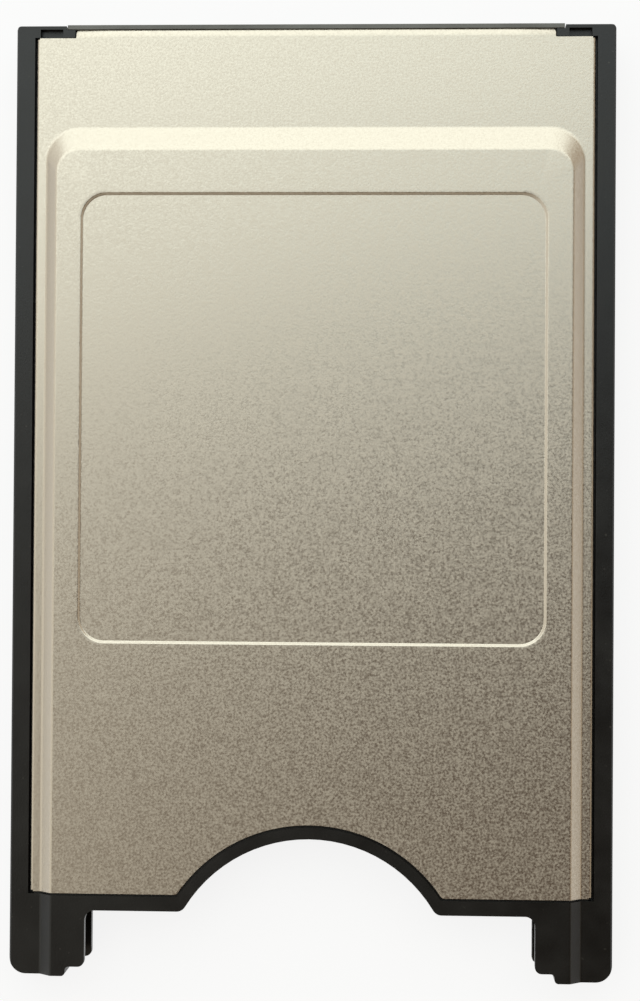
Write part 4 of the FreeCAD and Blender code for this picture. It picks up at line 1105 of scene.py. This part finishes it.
# Board, chips and films

class FinishInside(bpy.types.Operator):
    """Gives the board, its chips and the insulating films their finishes"""

    bl_idname = "card_adapter.finish_inside"
    bl_label = "Finish Inside"

    def execute(self, context):
        colours = context.scene.card_adapter_finishes
        capacitor = finish(fired_capacitor_ceramic, colours)
        resistor = finish(fired_resistor_ceramic, colours)
        film = finish(polyester_film, colours)
        finishes = {
            "circuit_board": finish(solder_masked_laminate, colours),
            "bypass_capacitor_left": capacitor,
            "bypass_capacitor_right": capacitor,
            "pull_up_resistor_left": resistor,
            "pull_up_resistor_right": resistor,
            "upper_insulating_film": film,
            "lower_insulating_film": film,
        }
        for node, material in finishes.items():
            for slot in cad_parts[node].material_slots:
                slot.material = material
        return {"FINISHED"}


# Stage

def lay_floor(settings, colours):
    """A wide sheet of paper just under the adapter."""
    shape = bmesh.new()
    bmesh.ops.create_grid(shape, x_segments=1, y_segments=1, size=settings.floor_half)
    mesh = as_mesh(shape, "floor")
    mesh.transform(Matrix.Translation((0, 0, -settings.floor_gap)))
    floor = new_piece("floor", mesh, white_paper(colours, settings.floor_glow))


def hang_lamp(settings, colours):
    """One large soft square lamp beyond the receptacle's end, aimed at the adapter's middle."""
    data = bpy.data.lights.new("key_lamp", "AREA")
    data.shape = "SQUARE"
    data.size = settings.key_size
    data.energy = settings.key_power
    data.color = colours.lamp_tint[:3]
    lamp = bpy.data.objects.new("key_lamp", data)
    lamp.location = LAMP_PLACE
    lamp.rotation_euler = (-LAMP_PLACE).to_track_quat("-Z", "Y").to_euler()
    bpy.context.scene.collection.objects.link(lamp)


def light_room(scene, colours):
    """A pale tent round the adapter, browner to the right, with a doorway behind the legs and a dim
    opening overhead, which the covers mirror as their darker lower half."""
    world = bpy.data.worlds.new("room")
    world.use_nodes = True
    room = world.node_tree
    room.nodes.clear()
    way = add_node(room, "ShaderNodeTexCoord").outputs["Generated"]
    sideways, _, upwards = add_node(room, "ShaderNodeSeparateXYZ", [way]).outputs
    tent = tinted(room, sideways, -1.0, 1.0, colours.tent_left, colours.tent_right)
    seen = tinted(room, upwards, 0.05, 0.3, colours.floor_white, tent)
    for patch, dim in ((DOORWAY_PATCH, colours.tent_doorway), (OPENING_PATCH, colours.tent_opening)):
        middle, edge, core = patch
        facing = add_node(
            room, "ShaderNodeVectorMath", [way, Vector(middle).normalized()], operation="DOT_PRODUCT",
        )
        seen = tinted(room, facing.outputs["Value"], edge, core, seen, dim)
    light = add_node(room, "ShaderNodeBackground", {"Color": seen, "Strength": 1.0})
    add_node(room, "ShaderNodeOutputWorld", {"Surface": light.outputs[0]})
    scene.world = world


def set_camera(scene, settings):
    """The camera, almost straight above the adapter, with the receptacle's end at the top."""
    data = bpy.data.cameras.new("camera")
    data.lens = settings.lens
    data.sensor_width = 36.0
    data.clip_start = 0.01
    camera = bpy.data.objects.new("camera", data)
    away = Vector((
        math.sin(settings.tilt_side),
        -math.sin(settings.tilt_back) * math.cos(settings.tilt_side),
        math.cos(settings.tilt_back) * math.cos(settings.tilt_side),
    ))
    across = Vector((0, 1, 0)).cross(away).normalized()
    up = away.cross(across)
    turned_across = math.cos(settings.roll) * across + math.sin(settings.roll) * up
    turned_up = math.cos(settings.roll) * up - math.sin(settings.roll) * across
    axes = Matrix((turned_across, turned_up, away)).transposed().to_4x4()
    camera.matrix_world = Matrix.Translation(CAMERA_TARGET + settings.camera_distance * away) @ axes
    scene.collection.objects.link(camera)
    scene.camera = camera


class SetStage(bpy.types.Operator):
    """Sets the floor, the soft lamp, the room's light and the camera"""

    bl_idname = "card_adapter.set_stage"
    bl_label = "Set Stage"

    def execute(self, context):
        scene = context.scene
        settings = scene.card_adapter_stage
        colours = scene.card_adapter_finishes
        scene.view_settings.view_transform = "Standard"
        lay_floor(settings, colours)
        hang_lamp(settings, colours)
        light_room(scene, colours)
        set_camera(scene, settings)
        return {"FINISHED"}


# Panel and add-on

OPERATORS = (
    StampCovers, MouldFrame, MouldConnectors, FormHeaderPins, FormHostContacts, FinishInside, SetStage,
)

GROUPS = {
    "card_adapter_covers": CoverSizes,
    "card_adapter_mouldings": MouldingSizes,
    "card_adapter_contacts": ContactSizes,
    "card_adapter_finishes": FinishColours,
    "card_adapter_stage": StageSettings,
}


class CardAdapterPanel(bpy.types.Panel):
    """Lists the adapter's pieces and their sizes"""

    bl_idname = "VIEW3D_PT_card_adapter"
    bl_label = "Card Adapter"
    bl_space_type = "VIEW_3D"
    bl_region_type = "UI"
    bl_category = "Card Adapter"

    def draw(self, context):
        for operator in OPERATORS:
            self.layout.operator(operator.bl_idname)
        for name, group in GROUPS.items():
            box = self.layout.box()
            box.label(text=group.__doc__)
            for prop in group.__annotations__:
                box.prop(getattr(context.scene, name), prop)


CLASSES = (*GROUPS.values(), *OPERATORS, CardAdapterPanel)


def register():
    for made in CLASSES:
        bpy.utils.register_class(made)
    for name, group in GROUPS.items():
        setattr(bpy.types.Scene, name, PointerProperty(type=group))


def unregister():
    for name in GROUPS:
        delattr(bpy.types.Scene, name)
    for made in reversed(CLASSES):
        bpy.utils.unregister_class(made)


def main():
    register()
    bpy.ops.card_adapter.stamp_covers()
    bpy.ops.card_adapter.mould_frame()
    bpy.ops.card_adapter.mould_connectors()
    bpy.ops.card_adapter.form_header_pins()
    bpy.ops.card_adapter.form_host_contacts()
    bpy.ops.card_adapter.finish_inside()
    bpy.ops.card_adapter.set_stage()


if __name__ == "__main__":
    main()
